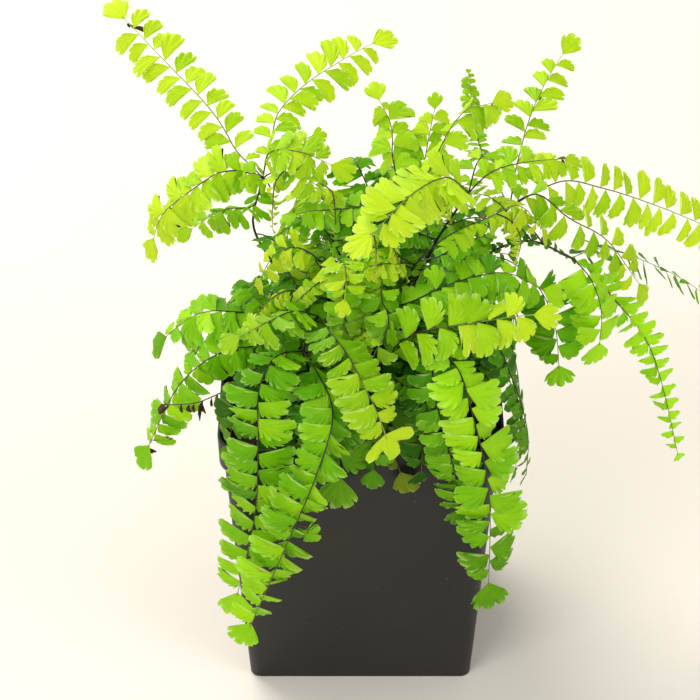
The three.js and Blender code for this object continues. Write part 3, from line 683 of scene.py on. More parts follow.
# %% Fronds that hang over the front
SHOWN_FRONDS += [
    {
        "name": "front_left",
        "colour": "leaf",
        "root": (-14, -12),
        "stipe": [(-20, -20, 136), (-22, -28, 150)],
        "fork": (-23, -36, 160),
        "fingers": [
            {
                "route": [
                    (-33, -50, 167), (-39, -61, 160), (-40, -67, 138), (-42, -68, 104), (-50, -69, 63),
                ],
                "leaf": 14, "face": (-0.1, -1), "tint": (0.25, 0.6), "taper": (1.0, 1.15), "tip": 0.95,
            },
            {
                "route": [
                    (-16, -52, 158), (-11, -70, 152), (-17, -81, 134), (-28, -86, 106), (-46, -88, 58),
                ],
                "leaf": 13.5, "face": (-0.1, -1), "tint": (0.3, 0.65), "droop": (8, 30), "lean": (4, 42),
                "taper": (1.0, 1.2), "cut": 5, "tip": 0.75,
            },
        ],
    },
    {
        "name": "front_crest",
        "colour": "young",
        "root": (-6, -4),
        "stipe": [(-14, -10, 145), (-20, -18, 158)],
        "fork": (-17, -26, 170),
        "fingers": [
            {
                "route": [(-12, -42, 174), (-4, -57, 170), (5, -70, 157), (12, -79, 140)],
                "leaf": 13, "turn": 0.3, "shape": "oblong", "tint": (-0.3, 0.9), "fresh": (0, 0.15),
                "taper": (0.85, 1.05), "cut": 8, "tip": 0.86, "last": "wings",
            },
            {
                "route": [(-26, -36, 178), (-36, -44, 179), (-48, -48, 175)],
                "leaf": 11, "shape": "oblong", "tint": (0.0, 0.1),
            },
        ],
    },
    {
        "name": "front_spray",
        "colour": "young",
        "root": (4, -18),
        "stipe": [(6, -26, 135)],
        "fork": (8, -34, 152),
        "fingers": [
            {
                "route": [(19, -42, 167), (34, -48, 178), (52, -52, 186), (73, -55, 191)],
                "leaf": 13, "turn": 0.75, "tint": (0.0, 1.0), "fresh": (0, 0.15), "gap": 8.2,
                "shape": "fan", "cut": 6, "tip": 0.8,
            },
        ],
    },
    {
        "name": "front_right",
        "colour": "leaf",
        "root": (16, -14),
        "stipe": [(22, -22, 145)],
        "fork": (28, -34, 165),
        "fingers": [
            {
                "route": [(36, -54, 167), (43, -68, 152), (50, -74, 118), (51, -76, 69)],
                "leaf": 13, "face": (0.2, -1), "shape": "fan", "tint": (1.2, -0.1),
                "taper": (1.0, 1.12), "cut": 5, "tip": 1.0,
            },
            {
                "route": [(26, -50, 158), (31, -62, 145), (36, -66, 124), (39, -66, 104)],
                "leaf": 9, "face": (0, -1), "tint": (0.1, 0.1), "taper": (1.1, 1.3),
            },
            {
                "route": [(50, -38, 166), (60, -44, 150), (66, -47, 128), (66, -48, 108)],
                "leaf": 6.5, "tint": (-0.2, -0.1), "shape": "fan",
            },
        ],
    },
    {
        "name": "middle_right",
        "colour": "leaf",
        "root": (8, -6),
        "stipe": [(6, -10, 140)],
        "fork": (6, -18, 166),
        "fingers": [
            {
                "route": [(18, -26, 177), (36, -28, 187), (56, -27, 191), (72, -26, 182)],
                "leaf": 10, "turn": 0.5, "shape": "fan", "gap": 5.8, "taper": (1.0, 1.3),
            },
            {
                "route": [(28, -14, 182), (52, -10, 188), (70, -10, 176), (78, -11, 156), (81, -12, 130)],
                "leaf": 13.5, "bare": 78, "face": (0, -1), "shape": "fan", "tint": (0.0, 0.3), "cut": 5,
            },
        ],
    },
]
print("fronds so far:", len(SHOWN_FRONDS))

# %% [markdown]
# Above them stand the youngest fronds, yellow-green and turned flat to the light. Two older ones lie out
# to the left, and one there has all but withered.

# %% Fronds of the crown and the left
SHOWN_FRONDS += [
    {
        "name": "upper_crest",
        "colour": "young",
        "root": (10, 4),
        "stipe": [(16, 2, 150), (30, -2, 190)],
        "fork": (42, -8, 216),
        "fingers": [
            {
                "route": [(32, -22, 231), (18, -42, 235), (3, -60, 228)],
                "leaf": 12.5, "turn": 0.35, "bare": 4, "tint": (0.8, 1.0), "fresh": (0.0, 0.3),
                "gap": 5.6, "taper": (1.1, 1.15), "shape": "fan", "shown_turn": 0.6, "green": 0.3,
            },
            {
                "route": [(52, -9, 225), (64, -7, 229), (80, -4, 229)],
                "leaf": 10, "turn": 0.2, "shown_turn": 0.4, "fresh": (0.0, 0.4),
            },
            {"route": [(45, 4, 222), (47, 16, 222), (48, 26, 214)], "leaf": 9.5, "bare": 5},
        ],
    },
    {
        "name": "upper_right",
        "colour": "young",
        "root": (14, -4),
        "stipe": [(16, -4, 150), (20, -7, 178)],
        "fork": (23, -26, 197),
        "fingers": [
            {
                "route": [(33, -26, 207), (46, -22, 215), (60, -18, 217), (71, -17, 204)],
                "leaf": 8.5, "turn": 0.3, "droop": (35, 35), "fresh": (0.0, 0.9), "cup": (0.2, 0.8),
            },
        ],
    },
    {
        "name": "upper_middle",
        "colour": "young",
        "root": (2, 10),
        "stipe": [(4, 12, 150), (10, 12, 180)],
        "fork": (16, 12, 200),
        "fingers": [
            {
                "route": [(26, 16, 212), (40, 24, 224), (53, 31, 233)],
                "leaf": 11, "shown_turn": 0.6, "shape": "fan", "droop": (8, 50),
            },
            {
                "route": [(15, 22, 207), (13, 36, 219), (7, 46, 228)],
                "leaf": 9.5, "shown_turn": 0.5, "shape": "fan", "taper": (1.3, 1.1), "droop": (8, 62),
            },
            {
                "route": [(23, 24, 208), (27, 36, 216), (30, 44, 225)],
                "leaf": 7.5, "shown_turn": 0.5, "shape": "fan", "taper": (1.3, 1.1),
            },
        ],
    },
    {
        "name": "left_arch",
        "colour": "leaf",
        "root": (-20, 0),
        "stipe": [(-26, -4, 135)],
        "fork": (-32, -10, 150),
        "fingers": [
            {
                "route": [(-46, -15, 162), (-62, -17, 166), (-74, -17, 158), (-81, -17, 150)],
                "leaf": 10.5, "taper": (1.1, 1.25), "droop": (-5, 20), "cut": 4,
            },
            {
                "route": [(-44, -26, 158), (-60, -36, 156), (-74, -40, 142), (-85, -44, 119)],
                "leaf": 9, "taper": (1.1, 1.35), "droop": (-5, 50),
            },
        ],
    },
    {
        "name": "centre_left",
        "colour": "young",
        "root": (-10, 2),
        "stipe": [(-12, -2, 150)],
        "fork": (-14, -8, 182),
        "fingers": [
            {
                "route": [(-24, -12, 193), (-34, -14, 191), (-40, -15, 180)],
                "leaf": 8.5, "turn": 0.4, "fresh": (0.2, 1.0),
            },
            {
                "route": [(-8, -22, 192), (-6, -38, 192), (-8, -50, 184)],
                "leaf": 8, "turn": 0.4, "tint": (0.3, 0.6), "cut": 8, "tip": 0.9,
            },
        ],
    },
    {
        "name": "dry_tip",
        "colour": "dry",
        "root": (-24, -14),
        "stipe": [(-34, -26, 138)],
        "fork": (-44, -36, 144),
        "fingers": [
            {
                "route": [(-56, -44, 146), (-66, -49, 145), (-76, -52, 146)],
                "leaf": 3.6, "bare": 12, "gap": 7.5, "droop": (40, 40), "cup": (0.5, 1.2),
            },
        ],
    },
]
print("shown fronds:", len(SHOWN_FRONDS))

# %% [markdown]
# The rest of the plant is the same all round: fronds that leave at an azimuth, fork, arch and hang. Each
# is said with a few numbers: the azimuth in degrees from +X, the radius and height of the fork, how far
# its fingers reach out from there, how far they rise, how far they fall at their tips, and the length of
# a leaflet. A frond has three fingers, 36 degrees apart, unless it says otherwise. The arch then says
# for four places on a finger how much of the reach, the rise and the fall they have. How light its
# leaves are and which outline they have comes from a seeded random draw.

# %% The fronds all round
ROUND_VALUES = ("name", "colour", "azimuth", "radius", "height", "reach", "rise", "hang", "leaf")
ROUND_FRONDS = [
    ("back_right", "leaf", 56, 36, 150, 46, 10, 54, 11.5, {}),
    ("back_middle", "young", 90, 34, 162, 58, 12, 58, 12, {}),
    ("back_left", "leaf", 124, 31, 138, 36, 7, 42, 10.5, {"count": 2, "spread": 32}),
    ("back_low", "old", 84, 26, 136, 32, 6, 2, 10, {"count": 2}),
    ("left_low", "old", 168, 34, 138, 30, 8, 2, 9, {"count": 2}),
    (
        "right_low", "old", 346, 38, 142, 30, 10, 48, 7,
        {"count": 2, "more": {"gap": 6.2, "taper": (1.25, 1.3), "green": 0.4, "rib": 0.8}},
    ),
    ("front_low_left", "old", 238, 30, 129, 28, 5, 6, 9, {"count": 2}),
    ("front_low_right", "old", 294, 30, 136, 32, 5, 14, 9.5, {}),
    ("top_back", "leaf", 76, 28, 184, 38, 12, 6, 9.5, {}),
    ("top_left", "leaf", 118, 19, 174, 27, 8, 0, 8.5, {"count": 2, "spread": 56}),
    ("centre_low", "old", 262, 20, 140, 30, 6, 0, 9, {"count": 1}),
    ("centre_right", "leaf", 328, 22, 156, 30, 6, 0, 9, {"count": 1}),
    ("crown", "leaf", 187, 5, 182, 28, 8, 2, 10, {"count": 2, "spread": 226}),
]
ROUND_COUNT = 3
ROUND_GIVE = 3
ROUND_SPREAD = 36
ROUND_ROOT = 0.7
ROUND_BEND = 0.8
ROUND_ARCH = [(0.3, 1, 0), (0.66, 0.9, 0), (0.9, 0, 0.25), (1, 0, 1)]
ROUND_TINT = (0.45, 0.2)
TINT_STEP = 0.1
round_random = np.random.default_rng(5)


def heading_at(degrees):
    """The level direction at an azimuth."""
    return np.array([math.cos(math.radians(degrees)), math.sin(math.radians(degrees)), 0])


def round_frond(row):
    """One of the fronds all round, in the form of the shown ones."""
    f = dict(zip(ROUND_VALUES, row)) | row[-1]

    def place(start, way, out, z):
        return (*(np.array(start[:2]) + out * way[:2]), z)

    outward = heading_at(f["azimuth"])
    fork = place((0, 0), outward, f["radius"], f["height"])
    bend = place((0, 0), outward, ROUND_BEND * f["radius"], (SOIL_TOP + f["height"]) / 2)
    count = f.get("count", ROUND_COUNT)
    fingers = []
    for i in range(count):
        way = heading_at(f["azimuth"] + (i - (count - 1) / 2) * f.get("spread", ROUND_SPREAD))
        route = []
        for out, risen, fallen in ROUND_ARCH:
            z = f["height"] + risen * f["rise"] - fallen * f["hang"]
            route.append(place(fork, way, out * f["reach"], z))
        tint = np.clip(round_random.normal(*ROUND_TINT), 0, 1)
        finger = {
            "route": route,
            "leaf": f["leaf"],
            "tint": (tint - TINT_STEP, tint + TINT_STEP),
            "shape": round_random.choice(["oblong", "fan"]),
        }
        fingers.append(finger | f.get("more", {}))
    return {
        "name": f["name"],
        "colour": f["colour"],
        "give": ROUND_GIVE,
        "root": place((0, 0), outward, ROUND_ROOT * f["radius"], 0)[:2],
        "stipe": [bend],
        "fork": fork,
        "fingers": fingers,
    }


fronds = SHOWN_FRONDS + [round_frond(row) for row in ROUND_FRONDS]
print("fronds:", len(fronds), "fingers:", sum(len(f["fingers"]) for f in fronds))

# %% [markdown]
# ## Bending the fronds clear of each other
#
# Real fronds give way where they touch. Each stipe or finger is a strand: a smooth curve through evenly
# spaced knots. A flat box round each knot stands for the blade there. Where two boxes meet, the shortest
# push that parts them is shared between their knots, and 140 gentle rounds clear the plant. Knots at a
# fork and at a root are held. The same rule shaped the CAD solids, so the strands end where those are,
# to within the little that the leaflets differ.

# %% A smooth strand through knots
KNOT_SPACING = 6.5
FEWEST_SPANS = 3
CURVE_SAMPLES = 201
BARE_STALK = 9


def smooth_way(knots, shares):
    """Places on the smooth curve through the knots, at shares of its knots from 0 to 1."""
    knots = np.asarray(knots, float)
    ends = np.vstack([2 * knots[0] - knots[1], knots, 2 * knots[-1] - knots[-2]])
    at = np.clip(shares, 0, 1) * (len(knots) - 1)
    k = np.minimum(at.astype(int), len(knots) - 2)
    w = (at - k)[:, None]
    before, start, end, after = (ends[k + i] for i in range(4))
    leave = (end - before) / 2
    arrive = (after - start) / 2
    turn = 3 * (end - start) - 2 * leave - arrive
    return start + w * (leave + w * (turn + w * (2 * (start - end) + leave + arrive)))


def length_along(places):
    """The running length along a row of places."""
    return np.concatenate([[0], np.cumsum(np.linalg.norm(np.diff(places, axis=0), axis=1))])


def even_knots(points, count):
    """Knots at even distances along the smooth curve through points."""
    shares = np.linspace(0, 1, CURVE_SAMPLES)
    run = length_along(smooth_way(points, shares))
    return smooth_way(points, np.interp(np.linspace(0, run[-1], count + 1), run, shares))


def unit(v):
    """Vectors at length one."""
    return v / np.linalg.norm(v, axis=-1, keepdims=True)


def strand_through(frond, points, finger=None):
    """A strand of a frond: its knots, their spacing and the way it heads."""
    said = finger or {"bare": 0}
    length = length_along(smooth_way(points, np.linspace(0, 1, CURVE_SAMPLES)))[-1]
    last = max(FEWEST_SPANS, int(length / KNOT_SPACING + 0.5))
    knots = even_knots(points, last)
    face = said.get("face")
    level = np.array([*face, 0.0]) if face else (knots[-1] - knots[0]) * (1, 1, 0)
    return {
        "frond": frond,
        "finger": finger,
        "bare": said.get("bare", BARE_STALK),
        "turn": said.get("turn", 0),
        "length": length,
        "step": length / last,
        "knots": knots,
        "heading": unit(level),
    }


strands = []
for frond in fronds:
    foot = (*frond["root"], SOIL_TOP + SOIL_MOUND)
    strands.append(strand_through(frond, [foot, *frond["stipe"], frond["fork"]]))
    for finger in frond["fingers"]:
        strands.append(strand_through(frond, [frond["fork"], *finger["route"]], finger))
print("strands:", len(strands), "knots:", sum(len(s["knots"]) for s in strands))

# %% The blade's directions along a strand
LIGHT = np.array([0, -0.82, 0.57])
UP = np.array([0.0, 0.0, 1.0])
START_LENGTH = 0.72
START_GROWTH = 1.4
END_LENGTH = 0.66
END_GROWTH = 1.6


def blade_frames(along, heading, turn):
    """Across and above for directions along a strand, turned towards the light by a share."""
    across = np.cross(heading, UP)
    across = unit(across - along * np.sum(across * along, axis=-1, keepdims=True))
    above = np.cross(across, along)
    turn = np.asarray(turn)[..., None]
    turned = above * (1 - turn) + LIGHT * turn
    turned = unit(turned - along * np.sum(turned * along, axis=-1, keepdims=True))
    above = np.where(turn > 0, turned, above)
    return np.where(turn > 0, np.cross(along, above), across), above


def leaflet_length(leaf, share):
    """How long leaflets are: shorter in the first and the last fifth of a finger."""
    from_start = START_LENGTH + START_GROWTH * share
    from_end = END_LENGTH + END_GROWTH * (1 - share)
    return leaf * np.minimum(1, np.minimum(from_start, from_end))


print("a leaflet at a finger's start is", leaflet_length(10, 0.0), "mm where the largest is 10")

# %% The push that parts two boxes
LONGEST_PUSH = 1.2
ALMOST_PARALLEL = 0.05
NEXT_TO_NOTHING = 1e-9


def shorten(moves, longest):
    """Moves that are no longer than a length."""
    size = np.linalg.norm(moves, axis=1, keepdims=True)
    return moves * np.minimum(1, longest / np.maximum(size, NEXT_TO_NOTHING))


def pushes_between(a, b, apart, room_a, room_b):
    """The shortest pushes that part pairs of boxes, and which pairs meet. a and b hold their axes.

    Two boxes may be clear of each other lengthwise, but none is pushed that way.
    """
    always = np.full(len(apart), True)
    axes = [a[2], b[2], a[1], b[1]]
    usable = [always] * 4
    for p in range(3):
        for q in range(3):
            crossed = np.cross(a[p], b[q])
            size = np.linalg.norm(crossed, axis=1)
            axes.append(crossed / np.maximum(size, NEXT_TO_NOTHING)[:, None])
            usable.append(size > ALMOST_PARALLEL)
    sideways = len(axes)
    axes += [a[0], b[0]]
    usable += [always] * 2
    least = np.full(len(apart), np.inf)
    push = np.zeros_like(apart)
    meets = always.copy()
    for i, (axis, use) in enumerate(zip(axes, usable)):
        offset = np.sum(apart * axis, axis=1)
        reach = sum(room_a[:, k] * np.abs(np.sum(a[k] * axis, axis=1)) for k in range(3))
        reach += sum(room_b[:, k] * np.abs(np.sum(b[k] * axis, axis=1)) for k in range(3))
        depth = reach - np.abs(offset)
        meets &= ~(use & (depth <= 0))
        better = use & (depth < least) & (i < sideways)
        least = np.where(better, depth, least)
        signed = np.where(offset < 0, -depth, depth)
        push = np.where(better[:, None], signed[:, None] * axis, push)
    return push[meets], meets


print("a push is at most", LONGEST_PUSH, "mm a round")

# %% The push off the pot
RIM_ROOM = 3
RIM_BAND = 8


def pushes_from_pot(place, across, wide):
    """Lifts leafy strands off the soil and the rim, and keeps them outside the wall where they hang."""
    half = POT_TOP / 2 + RIM_ROOM
    push = np.zeros_like(place)
    inner = np.abs(place[:, :2]).max(axis=1) < half - 2 * RIM_ROOM
    for side in (-1, 1):
        p = place + side * wide[:, None] * across
        size = np.abs(p[:, :2])
        out = size.max(axis=1)
        near = (p[:, 2] <= POT_HEIGHT + RIM_ROOM) & (out <= half)
        ground = np.where(out > half - RIM_BAND, POT_HEIGHT, SOIL_TOP + SOIL_MOUND)
        lift = np.maximum(push[:, 2], ground + RIM_ROOM - p[:, 2])
        push[:, 2] = np.where(near & inner, lift, push[:, 2])
        by_x = near & ~inner & (size[:, 0] > size[:, 1])
        by_y = near & ~inner & ~(size[:, 0] > size[:, 1])
        push[:, 0] = np.where(by_x, np.sign(p[:, 0]) * (half - size[:, 0]), push[:, 0])
        push[:, 1] = np.where(by_y, np.sign(p[:, 1]) * (half - size[:, 1]), push[:, 1])
    return shorten(push, LONGEST_PUSH)


print("blades keep", RIM_ROOM, "mm off the rim")

# %% The rounds that bend the strands clear
ROUNDS = 140
STALK_ROOM = 1.1
BLADE_ROOM = 1.7
SIDE_ROOM = 0.5
END_ROOM = 0.4
EARLY_LEAF = 3
FORK_ROOM = 20
HELD_KNOTS = 3
HELD_STIPE = 2
SMOOTHINGS = 3


def bend_clear(strands, rounds, free, blade_room=BLADE_ROOM):
    """Bends the strands clear of each other. Those that aren't free keep their place."""
    counts = [len(s["knots"]) for s in strands]

    def per_knot(values):
        return np.repeat(np.array(values, float), counts, axis=0)

    owner = np.repeat(np.arange(len(strands)), counts)
    frond_of = per_knot([fronds.index(s["frond"]) for s in strands])
    k = np.concatenate([np.arange(n) for n in counts])
    last = per_knot([n - 1 for n in counts])
    step = per_knot([s["step"] for s in strands])
    length = per_knot([s["length"] for s in strands])
    bare = per_knot([s["bare"] for s in strands])
    turn = per_knot([s["turn"] for s in strands])
    give = per_knot([s["frond"].get("give", 1) for s in strands])
    heading = per_knot([s["heading"] for s in strands])
    is_finger = per_knot([s["finger"] is not None for s in strands]) > 0
    leaf = per_knot([s["finger"]["leaf"] if s["finger"] else 0 for s in strands])
    distance = k * step
    leafy = is_finger & (distance > bare - EARLY_LEAF)
    share = (np.maximum(distance, bare) - bare) / (length - bare)
    wide = np.where(leafy, leaflet_length(leaf, share) + SIDE_ROOM, STALK_ROOM)
    room = np.column_stack([step / 2 + END_ROOM, wide, np.where(leafy, blade_room, STALK_ROOM)])
    reach = np.linalg.norm(room, axis=1)
    from_fork = np.where(is_finger, distance, length - distance)
    finger_free = np.minimum(k, HELD_KNOTS) / HELD_KNOTS
    stipe_free = np.minimum(np.minimum(k, last - k), HELD_STIPE) / HELD_STIPE
    loose = np.where(is_finger, finger_free, stipe_free) * per_knot([free(s) for s in strands])
    rows = np.arange(len(k))
    before = np.where(k > 0, rows - 1, rows)
    after = np.where(k < last, rows + 1, rows)

    first, second = np.triu_indices(len(k), 1)
    same_fork = (frond_of[first] == frond_of[second]) & (from_fork[first] + from_fork[second] < FORK_ROOM)
    matters = (owner[first] != owner[second]) & ~same_fork & (loose[first] + loose[second] > 0)
    first, second = first[matters], second[matters]
    near_enough = reach[first] + reach[second]

    knots = np.vstack([s["knots"] for s in strands])
    for _ in range(rounds):
        along = unit(knots[after] - knots[before])
        across, above = blade_frames(along, heading, turn)
        moves = np.zeros_like(knots)
        moves[is_finger] += pushes_from_pot(knots[is_finger], across[is_finger], wide[is_finger])
        close = np.linalg.norm(knots[second] - knots[first], axis=1) <= near_enough
        i, j = first[close], second[close]
        axes_a = (along[i], across[i], above[i])
        axes_b = (along[j], across[j], above[j])
        push, meets = pushes_between(axes_a, axes_b, knots[j] - knots[i], room[i], room[j])
        i, j = i[meets], j[meets]
        push = shorten(push, LONGEST_PUSH)
        part = (give[i] / (give[i] + give[j]))[:, None]
        np.add.at(moves, i, -part * push)
        np.add.at(moves, j, (1 - part) * push)
        moves = shorten(moves, LONGEST_PUSH)
        for _ in range(SMOOTHINGS):
            moves = (2 * moves + moves[before] + moves[after]) / 4
        knots += moves * loose[:, None]
    for s, strand in enumerate(strands):
        strand["knots"] = knots[owner == s]
    return len(push)


print("pairs that still meet:", bend_clear(strands, ROUNDS, lambda s: 1.0))

# %% [markdown]
# ## Sprigs that fill the plant
#
# The solids hold the main fingers. A real fern also has many small ones that fill its middle: short
# sprigs that leave the stipes low down, in deeper green, and newer ones round the forks, nearly yellow.
# The deeper green of the low sprigs, and of the darker middle ones, is partly their age and partly
# painted shade, for the shadow inside the plant.
# They are drawn from a seeded random choice of stipe, height and heading. One that would stand out of the
# plant, or lie on the soil, is dropped and drawn again.

# %% A sprig from a random draw
# The low and middle kinds' tints run dark. This is partly the deeper green of their age and partly painted
# shade for the shadow inside the plant.
SPRIG_KINDS = [
    {
        "name": "low", "colour": "old", "count": 50, "from": (0.15, 0.6), "length": (24, 42),
        "leaf": (6.5, 10), "climb": (0.1, 0.6), "centre": (6, 0), "reach": 56, "ceiling": 160,
        "tint": (-0.4, 0.3), "fresh": (0.0, 0.0),
    },
    {
        "name": "middle", "colour": "leaf", "count": 76, "from": (0.45, 0.95), "length": (22, 40),
        "leaf": (6, 9), "climb": (0.1, 0.9), "centre": (6, 0), "reach": 54, "ceiling": 198,
        "tint": (-0.35, 0.5), "fresh": (0.0, 0.1),
    },
    {
        "name": "crown", "colour": "young", "count": 62, "from": (0.7, 1.0), "length": (18, 34),
        "leaf": (5, 8.5), "climb": (0.2, 1.0), "centre": (8, -2), "reach": 52, "ceiling": 222,
        "tint": (-0.2, 0.85), "fresh": (0.0, 0.3),
    },
]
SPRIG_FLOOR = 121
SPRIG_VEER = 0.25
SPRIG_BARE = (4, 9)
SPRIG_TURN = (0.0, 0.45)
SPRIG_SHARES = (0.35, 0.7, 1.0)
SPRIG_SAG = 0.75
FAN_SHARE = 0.6

main_stipes = [s for s in strands if not s["finger"]]


def sprig(kind, random):
    """One sprig of a kind, from a place on a stipe, or None where it would stand out of the plant."""
    stipe = main_stipes[random.integers(len(main_stipes))]
    share = random.uniform(*kind["from"])
    start = smooth_way(stipe["knots"], np.array([share]))[0]
    way = heading_at(random.uniform(0, 360))
    length = random.uniform(*kind["length"])
    climb = random.uniform(*kind["climb"])
    side = np.cross(UP, way) * random.uniform(-SPRIG_VEER, SPRIG_VEER)
    points = [start]
    for s in SPRIG_SHARES:
        rise = length * climb * (s - SPRIG_SAG * s * s)
        points.append(start + (way + side * s) * length * s + UP * rise)
    heights = [p[2] for p in points]
    far = np.hypot(*(points[-1][:2] - kind["centre"])) > kind["reach"]
    if far or max(heights) > kind["ceiling"] or min(heights) < SPRIG_FLOOR:
        return None
    finger = {
        "leaf": random.uniform(*kind["leaf"]),
        "bare": random.uniform(*SPRIG_BARE),
        "turn": random.uniform(*SPRIG_TURN),
        "shape": "fan" if random.uniform() < FAN_SHARE else "oblong",
        "fresh": kind["fresh"],
    }
    return strand_through(stipe["frond"], points, finger) | {"kind": kind["name"]}


random = np.random.default_rng(21)
tint_random = np.random.default_rng(22)
sprigs = []
for kind in SPRIG_KINDS:
    made = 0
    while made < kind["count"]:
        new = sprig(kind, random)
        if new is not None:
            tint = tint_random.uniform(*kind["tint"])
            new["finger"]["tint"] = (tint, tint + TINT_STEP)
            sprigs.append(new)
            made += 1
print("sprigs drawn:", len(sprigs))

# %% [markdown]
# Some sprigs show so clearly in the photograph that they are placed one by one: a few under the crown, in
# the middle and at the front rim, and the youngest ones, which hang off the tips with leaflets that are
# still folded.

# %% Sprigs placed one by one
UNFOLDING = {
    "leaf": 5.5, "bare": 3, "turn": 0.3, "gap": 2.6, "shape": "folded", "last": "folded",
    "droop": (32, 32), "lean": (22, 22), "cup": (0.4, 1.1), "fresh": (0.3, 1.0), "tint": (0.7, 0.9),
    "taper": (1.0, 0.55),
}
YOUNG_TIPS = [
    ("rear_left", [(-31, 20, 209), (-34, 14, 208), (-35, 11, 199), (-35, 10, 187)]),
    ("rear_left", [(-16, 17, 205), (-12, 12, 204), (-11, 10, 196), (-11, 9, 184)]),
    ("centre_left", [(2, -14, 200), (5, -19, 203), (6, -23, 197), (6, -25, 187)]),
    ("centre_left", [(9, -15, 196), (13, -20, 198), (16, -24, 193), (17, -25, 183)]),
    ("upper_crest", [(30, -6, 216), (33, -12, 219), (35, -15, 213), (35, -16, 203)]),
    ("upper_right", [(52, -20, 214), (58, -23, 213), (60, -25, 206), (60, -26, 197)]),
    ("front_crest", [(-26, -20, 178), (-33, -25, 181), (-39, -28, 177), (-42, -29, 166)]),
]
FRONT_FAN = {"face": (0, -1), "shape": "fan"}
CROWN_FAN = {"turn": 0.5, "shape": "fan", "fresh": (0, 0)}
PLACED_SPRIGS = [
    (
        "centre_left", "crown", [(-17, -12, 185), (-10, -18, 188), (-4, -23, 185), (0, -27, 180)],
        CROWN_FAN | {"leaf": 8.5, "bare": 1, "turn": 0.6, "fresh": (0.1, 0.2), "tint": (0.6, 0.9)},
    ),
    (
        "centre_left", "middle", [(8, -25, 183), (8, -36, 176), (7, -45, 162)],
        FRONT_FAN | {"leaf": 9, "bare": 2, "turn": 0.3, "tint": (0.4, 0.3)},
    ),
    (
        "centre_left", "middle", [(-6, -22, 184), (-7, -31, 179), (-7, -39, 168)],
        FRONT_FAN | {"leaf": 8, "bare": 2, "turn": 0.3, "tint": (0.2, 0.3)},
    ),
    (
        "front_left", "middle", [(-27, -20, 176), (-30, -29, 171), (-31, -36, 159)],
        FRONT_FAN | {"leaf": 7.5, "bare": 2, "turn": 0.3, "tint": (0.1, 0.3)},
    ),
    (
        "front_left", "middle", [(-15, -44, 153), (-12, -58, 148), (-9, -64, 135), (-8, -65, 119)],
        FRONT_FAN | {"leaf": 17, "bare": 9, "tint": (-0.1, 0.1), "tip": 1.0},
    ),
    (
        "front_left", "middle", [(-28, -86, 112), (-25, -85, 110), (-22, -84, 107), (-21, -83, 104)],
        FRONT_FAN | {"leaf": 5, "bare": 9, "tint": (0.3, 0.5), "tip": 1.5},
    ),
    (
        "front_left", "low", [(-36, -44, 157), (-46, -50, 151), (-51, -55, 142), (-52, -58, 131)],
        FRONT_FAN | {"leaf": 9, "bare": 8, "face": (-0.3, -1), "tint": (0.1, 0.4), "tip": 1.0},
    ),
    (
        "rear_left", "crown", [(-34, 40, 200), (-30, 45, 206), (-25, 48, 210), (-21, 50, 211)],
        CROWN_FAN | {"leaf": 8, "bare": 4, "tint": (0.5, 0.6)},
    ),
    (
        "rear_left", "crown", [(-37, 33, 194), (-41, 32, 199), (-45, 30, 201), (-50, 27, 199)],
        CROWN_FAN | {"leaf": 8.5, "bare": 3, "tint": (0.4, 0.5)},
    ),
    (
        "front_right", "low", [(22, -42, 156), (25, -56, 148), (30, -63, 134), (34, -65, 118)],
        FRONT_FAN | {"leaf": 10, "bare": 8, "tint": (0.2, 0.4), "tip": 1.0},
    ),
    (
        "front_spray", "low", [(8, -40, 148), (11, -54, 143), (14, -62, 132), (17, -64, 121)],
        FRONT_FAN | {"leaf": 12, "bare": 10, "tint": (-0.3, 0.0), "tip": 1.0},
    ),
]


def placed_sprig(name, kind, points, finger):
    """A sprig through points, on the frond of a name."""
    frond = next(f for f in fronds if f["name"] == name)
    return strand_through(frond, points, finger) | {"kind": kind}


sprigs += [placed_sprig(name, "tip", points, UNFOLDING) for name, points in YOUNG_TIPS]
sprigs += [placed_sprig(*row) for row in PLACED_SPRIGS]
print("sprigs in all:", len(sprigs))

# %% [markdown]
# The sprigs are bent clear of the main fingers, which keep their places now, and of each other. Last of
# all, small tufts sit along the upper half of the stipe that arches out to the right, so they need no
# room of their own.

# %% The sprigs bent clear
SPRIG_ROUNDS = 45
SPRIG_BLADE_ROOM = 1.0
TUFTED = {
    "leaf": 3.8, "bare": 1, "turn": 0.3, "gap": 3.4, "shape": "fan", "tint": (0.4, 0.3),
    "droop": (-35, -10),
}

met = bend_clear(strands + sprigs, SPRIG_ROUNDS, lambda s: float("kind" in s), SPRIG_BLADE_ROOM)
stipe = next(s for s in main_stipes if s["frond"]["name"] == "right_arch")
upper_half = list(stipe["knots"][len(stipe["knots"]) // 2 :])
sprigs.append(placed_sprig("right_arch", "low", upper_half, TUFTED))
print("pairs that still meet:", met)

# %% [markdown]
# ## One leaflet
#
# A maidenhair leaflet has no midrib. It is a lopsided fan on a narrow foot: the edge nearer the frond's
# base is bare and sweeps up like a bird's wing, the outer end is broad, and the far edge is cut into
# lobes by narrow slits. So rays fan out from the foot to places along that edge, and each lobe says how
# much of its reach a ray keeps. Rings of places from the foot to the edge make a sheet. A plainer sheet
# under it shares the edge, so that the leaflet is one thin closed body.

